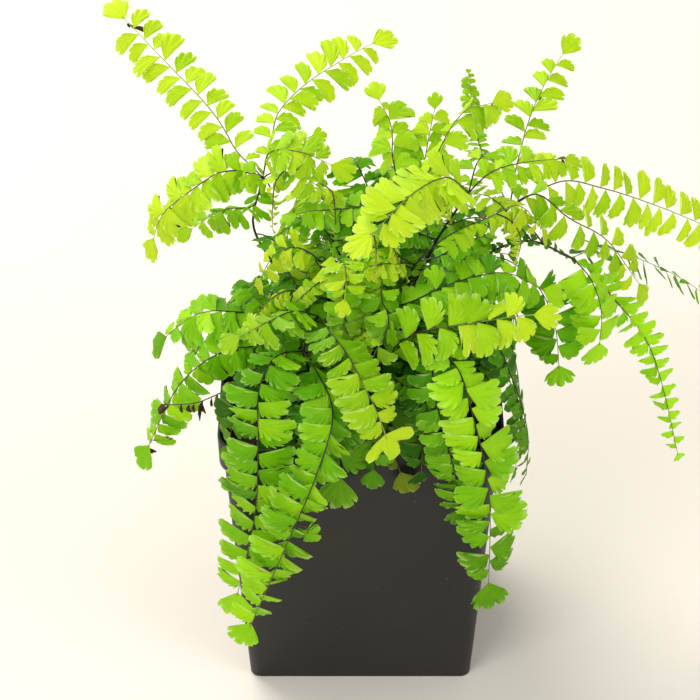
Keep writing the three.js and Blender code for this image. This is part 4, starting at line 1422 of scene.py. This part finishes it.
# %% The outlines of leaflets
# An edge runs round the leaflet's far side, from the bare edge to the foot, as places along the
# leaflet's length and towards the finger's tip. The sweep bends the blade back like a wing, and the
# crowding brings the slits nearer to the foot.
OUTLINES = {
    "oblong": {
        "edge": [
            (0.79, -0.14), (0.93, -0.05), (1.0, 0.1), (1.0, 0.27), (0.93, 0.39), (0.8, 0.42),
            (0.6, 0.4), (0.4, 0.41), (0.2, 0.41), (0.06, 0.32),
        ],
        "pitch": 0.54, "notch": (0.12, 0.34), "sweep": 0.115, "crowd": 0.72,
    },
    "fan": {
        "edge": [
            (0.78, -0.17), (0.94, -0.1), (1.02, 0.04), (1.03, 0.21), (0.97, 0.4), (0.84, 0.53),
            (0.65, 0.59), (0.45, 0.59), (0.27, 0.53), (0.14, 0.38),
        ],
        "pitch": 0.62, "notch": (0.1, 0.32), "sweep": 0.115, "crowd": 0.8,
    },
    "blunt": {
        "edge": [
            (0.84, -0.06), (0.97, 0.0), (1.03, 0.12), (1.01, 0.27), (0.91, 0.39), (0.73, 0.45),
            (0.5, 0.45), (0.28, 0.35),
        ],
        "pitch": 0.6, "notch": (0.04, 0.16), "sweep": 0.05,
    },
    "fin": {
        "edge": [
            (0.8, -0.17), (0.95, -0.11), (1.03, 0.0), (1.03, 0.13), (0.95, 0.27), (0.8, 0.36),
            (0.58, 0.4), (0.34, 0.37),
        ],
        "pitch": 0.6, "notch": (0.03, 0.16), "sweep": 0.05,
    },
    "folded": {
        "edge": [(0.86, -0.05), (1.0, 0.07), (1.0, 0.25), (0.81, 0.39), (0.55, 0.37)],
        "pitch": 0.6, "notch": (0.02, 0.2), "sweep": 0.05,
    },
    "sliver": {
        "edge": [(0.9, -0.02), (1.0, 0.03), (0.86, 0.08), (0.5, 0.1)],
        "pitch": 0.9, "notch": (0.0, 0.05), "sweep": -0.35,
    },
    "tip": {
        "edge": [
            (0.38, -0.44), (0.6, -0.55), (0.84, -0.46), (0.98, -0.25), (1.05, 0.0),
            (0.98, 0.25), (0.84, 0.46), (0.6, 0.55), (0.38, 0.44),
        ],
        "pitch": 1.0, "notch": (0.1, 0.3), "sweep": 0.0,
    },
    "wings": {
        "edge": [
            (0.1, -0.6), (0.28, -0.88), (0.54, -0.92), (0.66, -0.7), (0.44, -0.28), (0.72, -0.27),
            (0.93, -0.2), (1.0, 0.0), (0.93, 0.2), (0.72, 0.27), (0.44, 0.28), (0.66, 0.7),
            (0.54, 0.92), (0.28, 0.88), (0.1, 0.6),
        ],
        "pitch": 1.0, "notch": (0.06, 0.16), "sweep": 0.0,
    },
}
LOBE_RAYS = (0, 0.09, 0.22, 0.36, 0.5, 0.64, 0.78, 0.91)
LOBE_REACH = (0, 0.64, 0.95, 0.9, 1.06, 0.92, 0.94, 0.62)
RINGS = (0.07, 0.44, 0.8, 1.0)


def leaflet_faces(rays):
    """The faces of a leaflet with so many rays: its upper sheet, then its lower one."""
    rows = len(RINGS)

    def at(r, i):
        return 1 + r * rays + i

    faces = []
    for i in range(rays - 1):
        faces.append((0, at(0, i), at(0, i + 1)))
        for r in range(rows - 1):
            faces.append((at(r, i), at(r + 1, i), at(r + 1, i + 1), at(r, i + 1)))
    for i in range(1, rays - 2):
        faces.append((0, at(rows - 1, i + 1), at(rows - 1, i)))
    faces.append((0, at(rows - 1, 1), *(at(r, 0) for r in reversed(range(rows)))))
    faces.append((0, *(at(r, rays - 1) for r in range(rows)), at(rows - 1, rays - 2)))
    return faces


def leaflet_rays(lobes):
    """Where the rays of a leaflet stand, as shares of its fan: the last one closes it."""
    return np.array([(lobe + c) / lobes for lobe in range(lobes) for c in LOBE_RAYS] + [1.0])


for lobes in (2, 3, 4, 5):
    rays = len(leaflet_rays(lobes))
    print(lobes, "lobes:", rays, "rays,", len(leaflet_faces(rays)), "faces")

# %% [markdown]
# No two leaflets are cut alike, so each lobe gets a slit of its own depth, and each leaflet a width, a
# sweep, a cup and a ripple of its own. NumPy shapes a whole finger's leaflets in one go.

# %% A batch of leaflets of the same number of lobes
CUP = (0.05, 0.3)
RUFFLE = 0.04
EDGE_STRAY = 0.015
WIDTHS = (0.88, 1.1)
SWEEPS = (0.5, 1.5)
INNER_SLIT = 0.6


def shaped_leaflets(outline, lobes, count, random, cup=CUP, ruffle=RUFFLE):
    """Places of leaflets one unit long, as [leaflet, place, axis], and the marks of each place."""
    shares = leaflet_rays(lobes)
    rays = len(shares)
    corners = np.array(outline["edge"])
    run = length_along(corners)
    at = shares ** outline.get("crowd", 1) * run[-1]
    reach_x, reach_y = (np.interp(at, run, corners[:, i]) for i in (0, 1))
    lobe_share = np.tile(LOBE_REACH, lobes)
    depth = np.repeat(random.uniform(*outline["notch"], (count, lobes)), len(LOBE_RAYS), axis=1)
    edge = 1 - depth * (1 - lobe_share)
    edge[:, 0] = 1
    edge = np.column_stack([edge, np.ones(count)])
    edge *= 1 + random.uniform(-EDGE_STRAY, EDGE_STRAY, edge.shape)
    widen = random.uniform(*WIDTHS, (count, 1))
    cups = random.uniform(*cup, (count, 1))
    sweeps = outline["sweep"] * random.uniform(*SWEEPS, (count, 1))
    sheet = []
    for ring in RINGS:
        out = ring * (edge if ring == RINGS[-1] else 1 - INNER_SLIT * (1 - edge) * ring)
        x = out * reach_x
        y = out * reach_y * widen
        y += sweeps * (np.sin(np.pi * np.clip(x, 0, 1)) - x**2)
        ripple = ruffle * ring**2 * np.sin(2 * np.pi * lobes * shares + random.uniform(0, 6, (count, 1)))
        z = ripple - cups * x**2
        sheet.append(np.stack([x, y, z], axis=-1))
    sheet = np.stack(sheet, axis=1)
    places = np.concatenate([np.zeros((count, 1, 3)), sheet.reshape(count, -1, 3)], axis=1)
    ring = np.concatenate([[0], np.repeat(RINGS, rays)])
    ray = np.concatenate([[0.5], np.tile(shares, len(RINGS))])
    rim = (ring == 1) | (ray == 0) | (ray == 1)
    return places, {"ray": ray, "ring": ring, "rim": rim.astype(float)}


test = shaped_leaflets(OUTLINES["oblong"], 4, 2, np.random.default_rng(1))
print("places of a leaflet:", test[0].shape[1], "its reach:", np.round(test[0][0].max(axis=0), 2))

# %% [markdown]
# ## A finger's leaflets
#
# Leaflets stand on alternate sides of the rib, a little over half their length apart, so that they
# nearly touch. They droop from the rib, and no two do so alike: each gets a small turn, tilt and size of
# its own from a seeded random draw. The last one is a whole fan. What the finish needs to know is stored
# at each place: its ray and ring, how near the rim it is, and the leaflet's own tint and freshness.

# %% Where the leaflets of a finger stand
NUDGE = 0.001
FEWEST_PAIRS = 3
STRAY = 0.08
SIZES = (0.86, 1.08)


def from_to(ends, share):
    """What goes from the first of two ends to the second, at a share of the way."""
    return ends[0] + (ends[1] - ends[0]) * share


def frame_along(strand, distance):
    """Places and the blade's directions at distances along a strand."""
    shares = np.clip(np.asarray(distance) / strand["length"], 0, 1)
    places = smooth_way(strand["knots"], shares)
    ahead, behind = (smooth_way(strand["knots"], shares + n) for n in (NUDGE, -NUDGE))
    along = unit(ahead - behind)
    turn = strand["turn"]
    if strand["finger"]:
        turn = strand["finger"].get("shown_turn", turn)
    across, above = blade_frames(along, strand["heading"], np.full(len(shares), turn))
    return places, along, across, above


def leaflet_stations(strand, random, pitch_share):
    """The distance, side, length and share along the blade of each leaflet of a finger."""
    finger = strand["finger"]
    leafy = strand["length"] - finger.get("cut", 0) - strand["bare"]
    pitch = finger.get("gap", pitch_share * finger["leaf"])
    count = max(FEWEST_PAIRS, round(leafy / pitch))
    pitch = leafy / (count + 0.5)
    left = strand["bare"] + pitch * np.arange(count)
    stations = np.concatenate([left, left + pitch / 2])
    sides = np.repeat([-1.0, 1.0], count)
    stations += random.uniform(-STRAY, STRAY, len(stations)) * pitch
    share = (stations + pitch / 2 - strand["bare"]) / leafy
    lengths = leaflet_length(finger["leaf"], share) * random.uniform(*SIZES, len(stations))
    lengths *= from_to(finger.get("taper", (1, 1)), share)
    return stations, sides, lengths, share


test = leaflet_stations(strands[1], np.random.default_rng(1), 0.6)
print("leaflets on the first finger:", len(test[0]), "the longest:", round(test[2].max(), 1), "mm")

# %% Leaflets set on their feet
BLADE_THICK = 0.12


def stand_leaflets(unit_places, rim, lengths, foot, out, on, above):
    """Unit leaflets at their true length, thickened, on the axes out, on and above at their feet."""
    local = unit_places * lengths[:, None, None]
    local[..., 2] += (1 - rim) * BLADE_THICK
    axes = np.stack([out, on, above], axis=1)
    return foot[:, None, :] + local @ axes


def tilted(out, on, above, lean, droop, twist):
    """Leaflet axes after a lean in the blade, a droop from it and a twist about its length."""
    out, on = out * np.cos(lean) + on * np.sin(lean), on * np.cos(lean) - out * np.sin(lean)
    out, above = out * np.cos(droop) - above * np.sin(droop), above * np.cos(droop) + out * np.sin(droop)
    on, above = on * np.cos(twist) + above * np.sin(twist), above * np.cos(twist) - on * np.sin(twist)
    return out, on, above


def angles_about(random, middle, spread, count):
    """Random angles about a middle one, in radians, as a column."""
    return np.radians(random.normal(middle, spread, (count, 1)))


print("a leaflet is", BLADE_THICK, "mm thick in its middle and sharp at its edge")

# %% All leaflets of one finger
LOBES_ABOVE = ((12.8, 5), (9.5, 4), (7.2, 3), (0, 2))
SHAPES = {"young": "blunt", "leaf": "oblong", "old": "oblong", "dry": "folded"}
FRESHNESS = {"young": (0.0, 0.35), "leaf": (0.0, 0.1), "old": (0.0, 0.0), "dry": (0.0, 0.0)}
TINT = (0.5, 0.5)
TURN_OF_COLOUR = 1.5
DROOP = (8, 8)
DROOP_SPREAD = 9
DROOP_GROWTH = 0.2
LEAN = (4, 4)
LEAN_SPREAD = 6
TWIST = -7
TWIST_SPREAD = 10
FOOT_LIFT = 0.1
TIP_LEAFLET = 0.88
TIP_TUCK = 0.12
TIP_SPREAD = 6


def finger_leaflets(strand, random):
    """A finger's leaflets in batches: their places, faces, marks, sides, freshness and tints."""
    finger = strand["finger"]
    leaf = finger["leaf"]
    colour = strand["frond"]["colour"]
    lobes = next(number for length, number in LOBES_ABOVE if leaf > length)
    faces = leaflet_faces(len(leaflet_rays(lobes)))
    outline = OUTLINES[finger.get("shape", SHAPES[colour])]
    cup = finger.get("cup", CUP)
    taper = finger.get("taper", (1, 1))
    fresh = finger.get("fresh", FRESHNESS[colour])
    tint = finger.get("tint", TINT)

    stations, sides, lengths, share = leaflet_stations(strand, random, outline["pitch"])
    count = len(stations)
    foot, along, across, above = frame_along(strand, stations)
    droop = np.where(sides > 0, *finger.get("droop", DROOP)) + finger.get("wilt", 0) * share**2
    droop = droop[:, None]
    lean = np.where(sides > 0, *finger.get("lean", LEAN))[:, None]
    axes = tilted(
        across * sides[:, None],
        along,
        above,
        angles_about(random, lean, LEAN_SPREAD, count),
        angles_about(random, droop, DROOP_SPREAD + DROOP_GROWTH * droop, count),
        angles_about(random, TWIST, TWIST_SPREAD, count),
    )
    turned = share**TURN_OF_COLOUR
    places, marks = shaped_leaflets(outline, lobes, count, random, cup)
    made = stand_leaflets(places, marks["rim"], lengths, foot + above * FOOT_LIFT, *axes)
    batches = [(made, faces, marks, sides, from_to(fresh, turned), from_to(tint, turned))]

    end = strand["length"] - finger.get("cut", 0) - TIP_TUCK * leaf
    foot, along, across, above = frame_along(strand, [end])
    places, marks = shaped_leaflets(OUTLINES[finger.get("last", "tip")], lobes, 1, random, cup)
    axes = tilted(along, -across, above, *(angles_about(random, 0, TIP_SPREAD, 1) for _ in range(3)))
    tip = finger.get("tip", TIP_LEAFLET) * leaf * taper[1]
    made = stand_leaflets(places, marks["rim"], np.array([tip]), foot, *axes)
    batches.append((made, faces, marks, np.ones(1), np.array([fresh[1]]), np.array([tint[1]])))
    return batches


test = finger_leaflets(strands[1], np.random.default_rng(1))
print("places in its leaflets:", sum(made[..., 0].size for made, *_ in test))

# %% [markdown]
# ## Leaf finishes
#
# A fern's leaflet is two layers of skin round a little green flesh: soft, slightly waxy and so thin that
# light comes through it. A principled shader gives the skin its low gloss, and a translucent shader mixed
# in sends light through. The same recipe makes every age of leaf: the newest ones are yellow-green, the
# outer ones a fresh mid green, the inner ones deeper, and the withered ones brown and dull. The stored
# tint shifts each leaflet a little, and a mottle 5 mm wide does so within it. The rim pales its thin
# edge. The ray draws 13 fine veins that fan out from the foot, 1.2 mm apart at the edge of a leaflet that
# is 10 mm long. The newest leaflets of all, still unfolding, are nearly yellow with a touch of olive.

# %% A leaf's skin and flesh
VEINS = 13
VEIN_RELIEF = 0.12
LEAF_IOR = 1.42
LEAF_GLOSS = 0.32
MOTTLE = 5.0
MOTTLE_SHARE = 0.35
FLESH_SHARE = 0.42
NEWEST = "DCE322"
RIM_STOPS = [(0.8, "000000"), (1.0, "D0D0D0")]


def leaf_finish(name, stops, edge_colour, glow_stops, roughness=0.46):
    """A thin leaf: its skin's colours by tint, its pale edge, and the colours of light through it."""
    finish = new_material(name)
    tint, fresh, ring, ray, rim = (
        add(finish, "Attribute", attribute_name=mark).outputs["Fac"]
        for mark in ("tint", "fresh", "ring", "ray", "rim")
    )
    position = add(finish, "NewGeometry").outputs["Position"]
    mottle = add(finish, "TexNoise", {"Scale": 1 / (MOTTLE * MM), "Detail": 3.0}, {"Vector": position})
    spread = add(finish, "Math", {1: MOTTLE_SHARE}, {0: mottle.outputs["Fac"]}, operation="MULTIPLY")
    depth = add(finish, "Math", links={0: tint, 1: spread.outputs["Value"]}, operation="ADD")
    skin = add(finish, "ValToRGB", links={"Fac": depth.outputs["Value"]}, stops=stops)
    newest = add(
        finish, "Mix", {MIX_SECOND: linear(NEWEST)},
        {MIX_SHARE: fresh, MIX_FIRST: skin.outputs["Color"]}, data_type="RGBA",
    )
    border = add(finish, "ValToRGB", links={"Fac": rim}, stops=RIM_STOPS)
    edged = add(
        finish, "Mix", {MIX_SECOND: linear(edge_colour)},
        {MIX_SHARE: border.outputs["Color"], MIX_FIRST: newest.outputs[MIX_RESULT]}, data_type="RGBA",
    )
    turns = add(finish, "Math", {1: 2 * math.pi * VEINS}, {0: ray}, operation="MULTIPLY")
    wave = add(finish, "Math", links={0: turns.outputs["Value"]}, operation="SINE")
    ribbed = add(finish, "Math", links={0: wave.outputs["Value"], 1: ring}, operation="MULTIPLY")
    veins = add(
        finish, "Bump", {"Strength": 0.5, "Distance": VEIN_RELIEF * MM},
        {"Height": ribbed.outputs["Value"]},
    )
    surface = add(
        finish,
        "BsdfPrincipled",
        {"Roughness": roughness, "IOR": LEAF_IOR, "Specular IOR Level": LEAF_GLOSS},
        {"Base Color": edged.outputs[MIX_RESULT], "Normal": veins.outputs["Normal"]},
    )
    through = add(finish, "ValToRGB", links={"Fac": depth.outputs["Value"]}, stops=glow_stops)
    glow = add(finish, "BsdfTranslucent", links={"Color": through.outputs["Color"]})
    mixed = add(
        finish, "MixShader", {0: FLESH_SHARE}, {1: surface.outputs["BSDF"], 2: glow.outputs["BSDF"]}
    )
    add(finish, "OutputMaterial", links={"Surface": mixed.outputs["Shader"]})
    return finish


LEAF_FINISHES = {
    "young": leaf_finish(
        "new_fern_leaf",
        [(0.1, "7FC000"), (0.5, "ACE000"), (0.95, "D8F52C")],
        "F0FF9A",
        [(0.1, "AEE800"), (0.95, "ECFF30")],
    ),
    "leaf": leaf_finish(
        "fresh_fern_leaf",
        [(0.1, "529C00"), (0.5, "84CC00"), (0.95, "C0F018")],
        "DEF888",
        [(0.1, "88DC00"), (0.95, "D0FF10")],
    ),
    "old": leaf_finish(
        "ripe_fern_leaf",
        [(0.1, "266000"), (0.5, "4A9200"), (0.95, "80C010")],
        "B0DC60",
        [(0.1, "489C00"), (0.95, "90D008")],
    ),
    "dry": leaf_finish(
        "withered_fern_leaf",
        [(0.1, "33251B"), (0.5, "52392A"), (0.95, "735638")],
        "7A5C3E",
        [(0.1, "4A3020"), (0.95, "6A4A2A")],
        roughness=0.8,
    ),
}
print("leaf finishes:", [m.name for m in LEAF_FINISHES.values()])

# %% [markdown]
# ## Stipes and ribs
#
# The stalks are what the plant is named for: polished, wiry and nearly black, with a purple-brown cast,
# and they turn green only where they are newest, towards the tips of the young fingers. Their polish is
# that of lacquer, worn in patches of 1 to 2 mm. One tube follows each strand, thinner towards its tip,
# and lies a little proud of the blade, so that its dark line shows.

# %% Polished wiry stalk
STALK_IOR = 1.5
WORN_PATCH = 1.5

stalk = new_material("polished_fern_stalk")
newness = add(stalk, "Attribute", attribute_name="newness").outputs["Fac"]
lacquer = add(
    stalk, "ValToRGB", links={"Fac": newness},
    stops=[(0.0, "1A100E"), (0.4, "33211A"), (0.7, "6A6A2C"), (1.0, "A0BE48")],
)
position = add(stalk, "NewGeometry").outputs["Position"]
furrow = add(stalk, "TexNoise", {"Scale": 1 / (WORN_PATCH * MM), "Detail": 2.0}, {"Vector": position})
worn = add(stalk, "MapRange", {"To Min": 0.22, "To Max": 0.42}, {"Value": furrow.outputs["Fac"]})
wire = add(
    stalk,
    "BsdfPrincipled",
    {"IOR": STALK_IOR},
    {"Base Color": lacquer.outputs["Color"], "Roughness": worn.outputs["Result"]},
)
add(stalk, "OutputMaterial", links={"Surface": wire.outputs["BSDF"]})
print("nodes in the stalk:", len(stalk.node_tree.nodes))

# %% A tube along places
STALK_SIDES = 7
ANY_WAY = (0.3, 0.5, 0.8)


def tube(places, radii):
    """Places and faces of a closed tube through places, with a radius at each."""
    along = unit(np.gradient(places, axis=0))
    side = unit(np.cross(along[0], ANY_WAY))
    turns = np.linspace(0, 2 * math.pi, STALK_SIDES, endpoint=False)
    rings = []
    for place, way, radius in zip(places, along, radii):
        side = unit(side - way * np.dot(side, way))
        other = np.cross(way, side)
        circle = np.cos(turns)[:, None] * side + np.sin(turns)[:, None] * other
        rings.append(place + radius * circle)
    return loft(rings)


def store(piece, **values):
    """Stores one number at each place of a piece's mesh, under each name."""
    for name, numbers in values.items():
        attribute = piece.data.attributes.new(name, "FLOAT", "POINT")
        attribute.data.foreach_set("value", np.asarray(numbers, np.float32))


print("a stalk has", STALK_SIDES, "sides")

# %% [markdown]
# ## Dressing every frond
#
# Each frond becomes two pieces, one of leaflets and one of stalks, and each stands for its CAD node. The
# seed comes from the frond's place in the list, so every run gives the same plant.

# %% The stalks of a frond
STIPE_RADII = (0.75, 0.44)
STIPE_DEPTH = 8
KNUCKLE_RADII = [0.62, 0.496]
RIB_RADII = (0.33, 0.15)
RIB_LIFT = 0.22
RIB_RISE = 4
RIB_POINT = 0.5
TUBE_STEP = 3.0
FEWEST_RINGS = 6
NEWNESS = {"young": 1.0, "leaf": 0.75, "old": 0.6, "dry": 0.3}
GREENING = 1.2
SMOOTH_STALK = 60


def stipe_tube(strand):
    """A stipe from inside the soil to its fork, with the small swelling there."""
    foot = (*strand["frond"]["root"], SOIL_TOP - STIPE_DEPTH)
    steps = max(FEWEST_RINGS, round(strand["length"] / TUBE_STEP))
    places = np.vstack([foot, smooth_way(strand["knots"], np.linspace(0.02, 1, steps))])
    radii = from_to(STIPE_RADII, np.linspace(0, 1, len(places)))
    radii[-2:] = KNUCKLE_RADII
    return places, radii


def rib_tube(strand):
    """A finger's stalk and rib, thinner to its tip, a little above the blade."""
    steps = max(FEWEST_RINGS, round(strand["length"] / TUBE_STEP))
    end = strand["length"] - strand["finger"].get("cut", 0) + RIB_POINT
    distance = np.linspace(0, end, steps)
    places, _, _, above = frame_along(strand, distance)
    lift = RIB_LIFT * np.clip(distance / RIB_RISE, 0, 1)
    radii = from_to(RIB_RADII, np.clip(distance / strand["length"], 0, 1))
    return places + above * lift[:, None], radii * strand["finger"].get("rib", 1)


def join_parts(parts):
    """Places and faces of several bodies as one mesh."""
    starts = np.concatenate([[0], np.cumsum([len(p) for p, _ in parts])])
    places = np.vstack([p for p, _ in parts])
    faces = [[int(v) + int(start) for v in f] for (_, fs), start in zip(parts, starts) for f in fs]
    return places, faces


def dress_stalks(frond, own):
    """The stalks of a frond as one piece."""
    parts = []
    newness = []
    for strand in own:
        places, radii = rib_tube(strand) if strand["finger"] else stipe_tube(strand)
        parts.append(tube(places, radii))
        new = np.zeros(len(places))
        if strand["finger"]:
            green = strand["finger"].get("green", 0)
            new = from_to((green, 1), np.linspace(0, 1, len(places)) ** GREENING)
            new *= NEWNESS[frond["colour"]]
        newness.append(np.repeat(new, STALK_SIDES))
    places, faces = join_parts(parts)
    piece = new_piece(frond["name"] + "_stalks", places, faces, stalk, SMOOTH_STALK)
    store(piece, newness=np.concatenate(newness))
    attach(piece, "root")
    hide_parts(frond["name"] + "_stipe")


print("a stipe is", 2 * STIPE_RADII[0], "mm thick in the soil")

# %% [markdown]
# Leaflets that hang over the rim lie against the pot. Where a place of one would be inside the plastic,
# it is moved out to the face of the wall, as a real leaf is pushed aside.

# %% The leaflets of a frond
WALL_GAP = 0.2
TINT_SPREAD = 0.16
SMOOTH_LEAF = 70


def laid_on_wall(places):
    """Places of leaflets, with those inside the pot's wall moved out to its face."""
    height = places[..., 2]
    face = np.where(height > neck_height, rim_half, wall_at(height)[0])
    far = np.abs(places[..., :2]).max(axis=-1)
    inside = (height < POT_HEIGHT) & (far > face - WALL) & (far < face)
    laid = places.copy()
    laid[..., :2] *= np.where(inside, (face + WALL_GAP) / far, 1)[..., None]
    return laid


def leaflet_piece(name, batches, finish, random):
    """One piece from batches of leaflets, with their rays, rings and tints stored for the finish."""
    places = []
    faces = []
    marks = {"ray": [], "ring": [], "rim": [], "tint": [], "fresh": []}
    start = 0
    for made, template, own_marks, sides, fresh, tint in batches:
        flipped = [f[::-1] for f in template]
        for side in sides:
            faces += [[v + start for v in f] for f in (template if side > 0 else flipped)]
            start += made.shape[1]
        places.append(laid_on_wall(made.reshape(-1, 3)))
        for mark, values in own_marks.items():
            marks[mark].append(np.tile(values, len(made)))
        tint = np.clip(tint + random.normal(0, TINT_SPREAD, len(made)), 0, 1)
        marks["tint"].append(np.repeat(tint, made.shape[1]))
        marks["fresh"].append(np.repeat(fresh, made.shape[1]))
    piece = new_piece(name, np.vstack(places), faces, finish, SMOOTH_LEAF)
    store(piece, **{mark: np.concatenate(values) for mark, values in marks.items()})
    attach(piece, "root")
    return piece


FROND_SEED = 100
leaf_faces = 0
for number, frond in enumerate(fronds):
    random = np.random.default_rng(FROND_SEED + number)
    own = [s for s in strands if s["frond"] is frond]
    dress_stalks(frond, own)
    batches = [b for s in own if s["finger"] for b in finger_leaflets(s, random)]
    finish = LEAF_FINISHES[frond["colour"]]
    leaves = leaflet_piece(frond["name"] + "_leaflets", batches, finish, random)
    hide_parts(frond["name"] + "_fingers")
    leaf_faces += len(leaves.data.polygons)
print("faces of leaflets:", leaf_faces)

# %% The sprigs, by kind
SPRIG_SEED = 300
sprig_colours = {kind["name"]: kind["colour"] for kind in SPRIG_KINDS} | {"tip": "young"}
for number, (name, colour) in enumerate(sprig_colours.items()):
    random = np.random.default_rng(SPRIG_SEED + number)
    own = [s for s in sprigs if s["kind"] == name]
    batches = [b for s in own for b in finger_leaflets(s, random)]
    leaves = leaflet_piece(name + "_sprig_leaflets", batches, LEAF_FINISHES[colour], random)
    ribs = [tube(*rib_tube(s)) for s in own]
    stalks = new_piece(name + "_sprig_stalks", *join_parts(ribs), stalk, SMOOTH_STALK)
    newness = [np.linspace(0.1, NEWNESS[colour], len(places) // STALK_SIDES) for places, _ in ribs]
    store(stalks, newness=np.concatenate([np.repeat(n, STALK_SIDES) for n in newness]))
    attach(stalks, "root")
    print(name, "sprigs:", len(own), "leaflet faces:", len(leaves.data.polygons))

# %% [markdown]
# ## Withered bits and curled tips
#
# A plant from a nursery bench isn't perfect. A few leaflets have shrivelled to brown scraps that still
# hang on their ribs, and the newest growth ends in croziers, the little coils that fern fronds unroll
# from. Each is placed by its frond, its finger, a share of the finger's length, and its own length or
# radius in millimetres.

# %% Withered leaflets
SCRAP_ANGLES = (30, 40, 0)
SCRAP_SPREAD = 25
SCRAP_CUP = (1.0, 1.9)
SCRAP_RUFFLE = 0.12
SCRAP_TINT = 0.3
SCRAP_LOBES = 2
WITHERED = [
    ("rear_left", 1, 0.9, 5.5), ("rear_left", 1, 0.93, 4.0), ("rear_left", 5, 0.72, 6.5),
    ("rear_left", 5, 0.8, 6.0), ("rear_right", 3, 0.72, 4.0), ("upper_crest", 2, 0.95, 4.0),
    ("front_right", 1, 0.3, 7.5), ("front_right", 2, 0.95, 5.5), ("front_right", 2, 1.0, 5.0),
    ("left_arch", 2, 0.96, 5.0), ("left_arch", 2, 1.0, 4.5), ("upper_middle", 1, 0.97, 5.0),
    ("dry_tip", 1, 0.95, 3.5), ("dry_tip", 1, 0.6, 4.5), ("dry_tip", 1, 0.75, 4.0),
]


def finger_of(name, number):
    """A finger's strand by its frond's name and its number, from 1."""
    own = [s for s in strands if s["frond"]["name"] == name and s["finger"]]
    return own[number - 1]


random = np.random.default_rng(77)
batches = []
for name, number, share, size in WITHERED:
    strand = finger_of(name, number)
    foot, along, across, above = frame_along(strand, [share * strand["length"]])
    side = random.choice([-1.0, 1.0])
    angles = [angles_about(random, angle, SCRAP_SPREAD, 1) for angle in SCRAP_ANGLES]
    axes = tilted(across * side, along, above, *angles)
    places, marks = shaped_leaflets(OUTLINES["folded"], SCRAP_LOBES, 1, random, SCRAP_CUP, SCRAP_RUFFLE)
    made = stand_leaflets(places, marks["rim"], np.array([size]), foot, *axes)
    faces = leaflet_faces(len(leaflet_rays(SCRAP_LOBES)))
    batches.append((made, faces, marks, np.array([side]), np.zeros(1), np.full(1, SCRAP_TINT)))
scraps = leaflet_piece("withered_scraps", batches, LEAF_FINISHES["dry"], random)
print("withered leaflets:", len(WITHERED))

# %% Croziers
CROZIERS = [
    ("upper_right", 1, 0.45, 1.3), ("upper_crest", 2, 0.9, 1.2), ("centre_left", 2, 0.6, 1.1),
    ("top_back", 1, 0.8, 1.3), ("crown", 1, 0.7, 1.3),
]
CROZIER_TURNS = 1.6
CROZIER_STEM = 2.5
CROZIER_TILT = 0.5
CROZIER_LEAN = 0.4
CROZIER_SHRINK = 0.72
STEM_RADII = (0.2, 0.28)
COIL_RADII = (0.3, 0.42)
CROZIER_NEWNESS = 0.66


def crozier_tube(strand, share, radius, random):
    """A stem off a rib that ends in a flat coil."""
    place, along, across, above = (v[0] for v in frame_along(strand, [share * strand["length"]]))
    tilt = random.uniform(-CROZIER_TILT, CROZIER_TILT)
    up = unit(above + across * tilt + along * CROZIER_LEAN)
    forward = unit(along - up * np.dot(along, up))
    turns = np.linspace(0, 2 * math.pi * CROZIER_TURNS, 30)[:, None]
    shrink = radius * (1 - CROZIER_SHRINK * turns / turns[-1])
    middle = place + up * CROZIER_STEM + forward * radius
    coil = middle + shrink * (up * np.sin(turns) - forward * np.cos(turns))
    stem = place + up * np.linspace(0, CROZIER_STEM, 7)[:-1, None]
    radii = np.concatenate([np.linspace(*STEM_RADII, len(stem)), np.linspace(*COIL_RADII, len(coil))])
    return tube(np.vstack([stem, coil]), radii)


random = np.random.default_rng(78)
coils = []
for name, number, share, radius in CROZIERS:
    coils.append(crozier_tube(finger_of(name, number), share, radius, random))
croziers = new_piece("croziers", *join_parts(coils), stalk, SMOOTH_STALK)
store(croziers, newness=np.full(sum(len(places) for places, _ in coils), CROZIER_NEWNESS))
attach(croziers, "root")
print("croziers:", len(coils))

# %% [markdown]
# ## Last checks
#
# The dressed plant should be no larger than the CAD model, apart from what soft leaf tips may stand
# proud, so both boxes are written down side by side.

# %% Sizes, and the end
dressed_box = [list(corner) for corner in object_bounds()]
for axis, cad_lo, cad_hi, lo, hi in zip("XYZ", *cad_box, *dressed_box):
    print(axis, "stands out by", round((cad_lo - lo) / MM, 1), "and", round((hi - cad_hi) / MM, 1), "mm")
count = sum(len(o.data.polygons) for o in bpy.data.objects if o.type == "MESH")
print("faces in all:", count, "mostly of four corners")
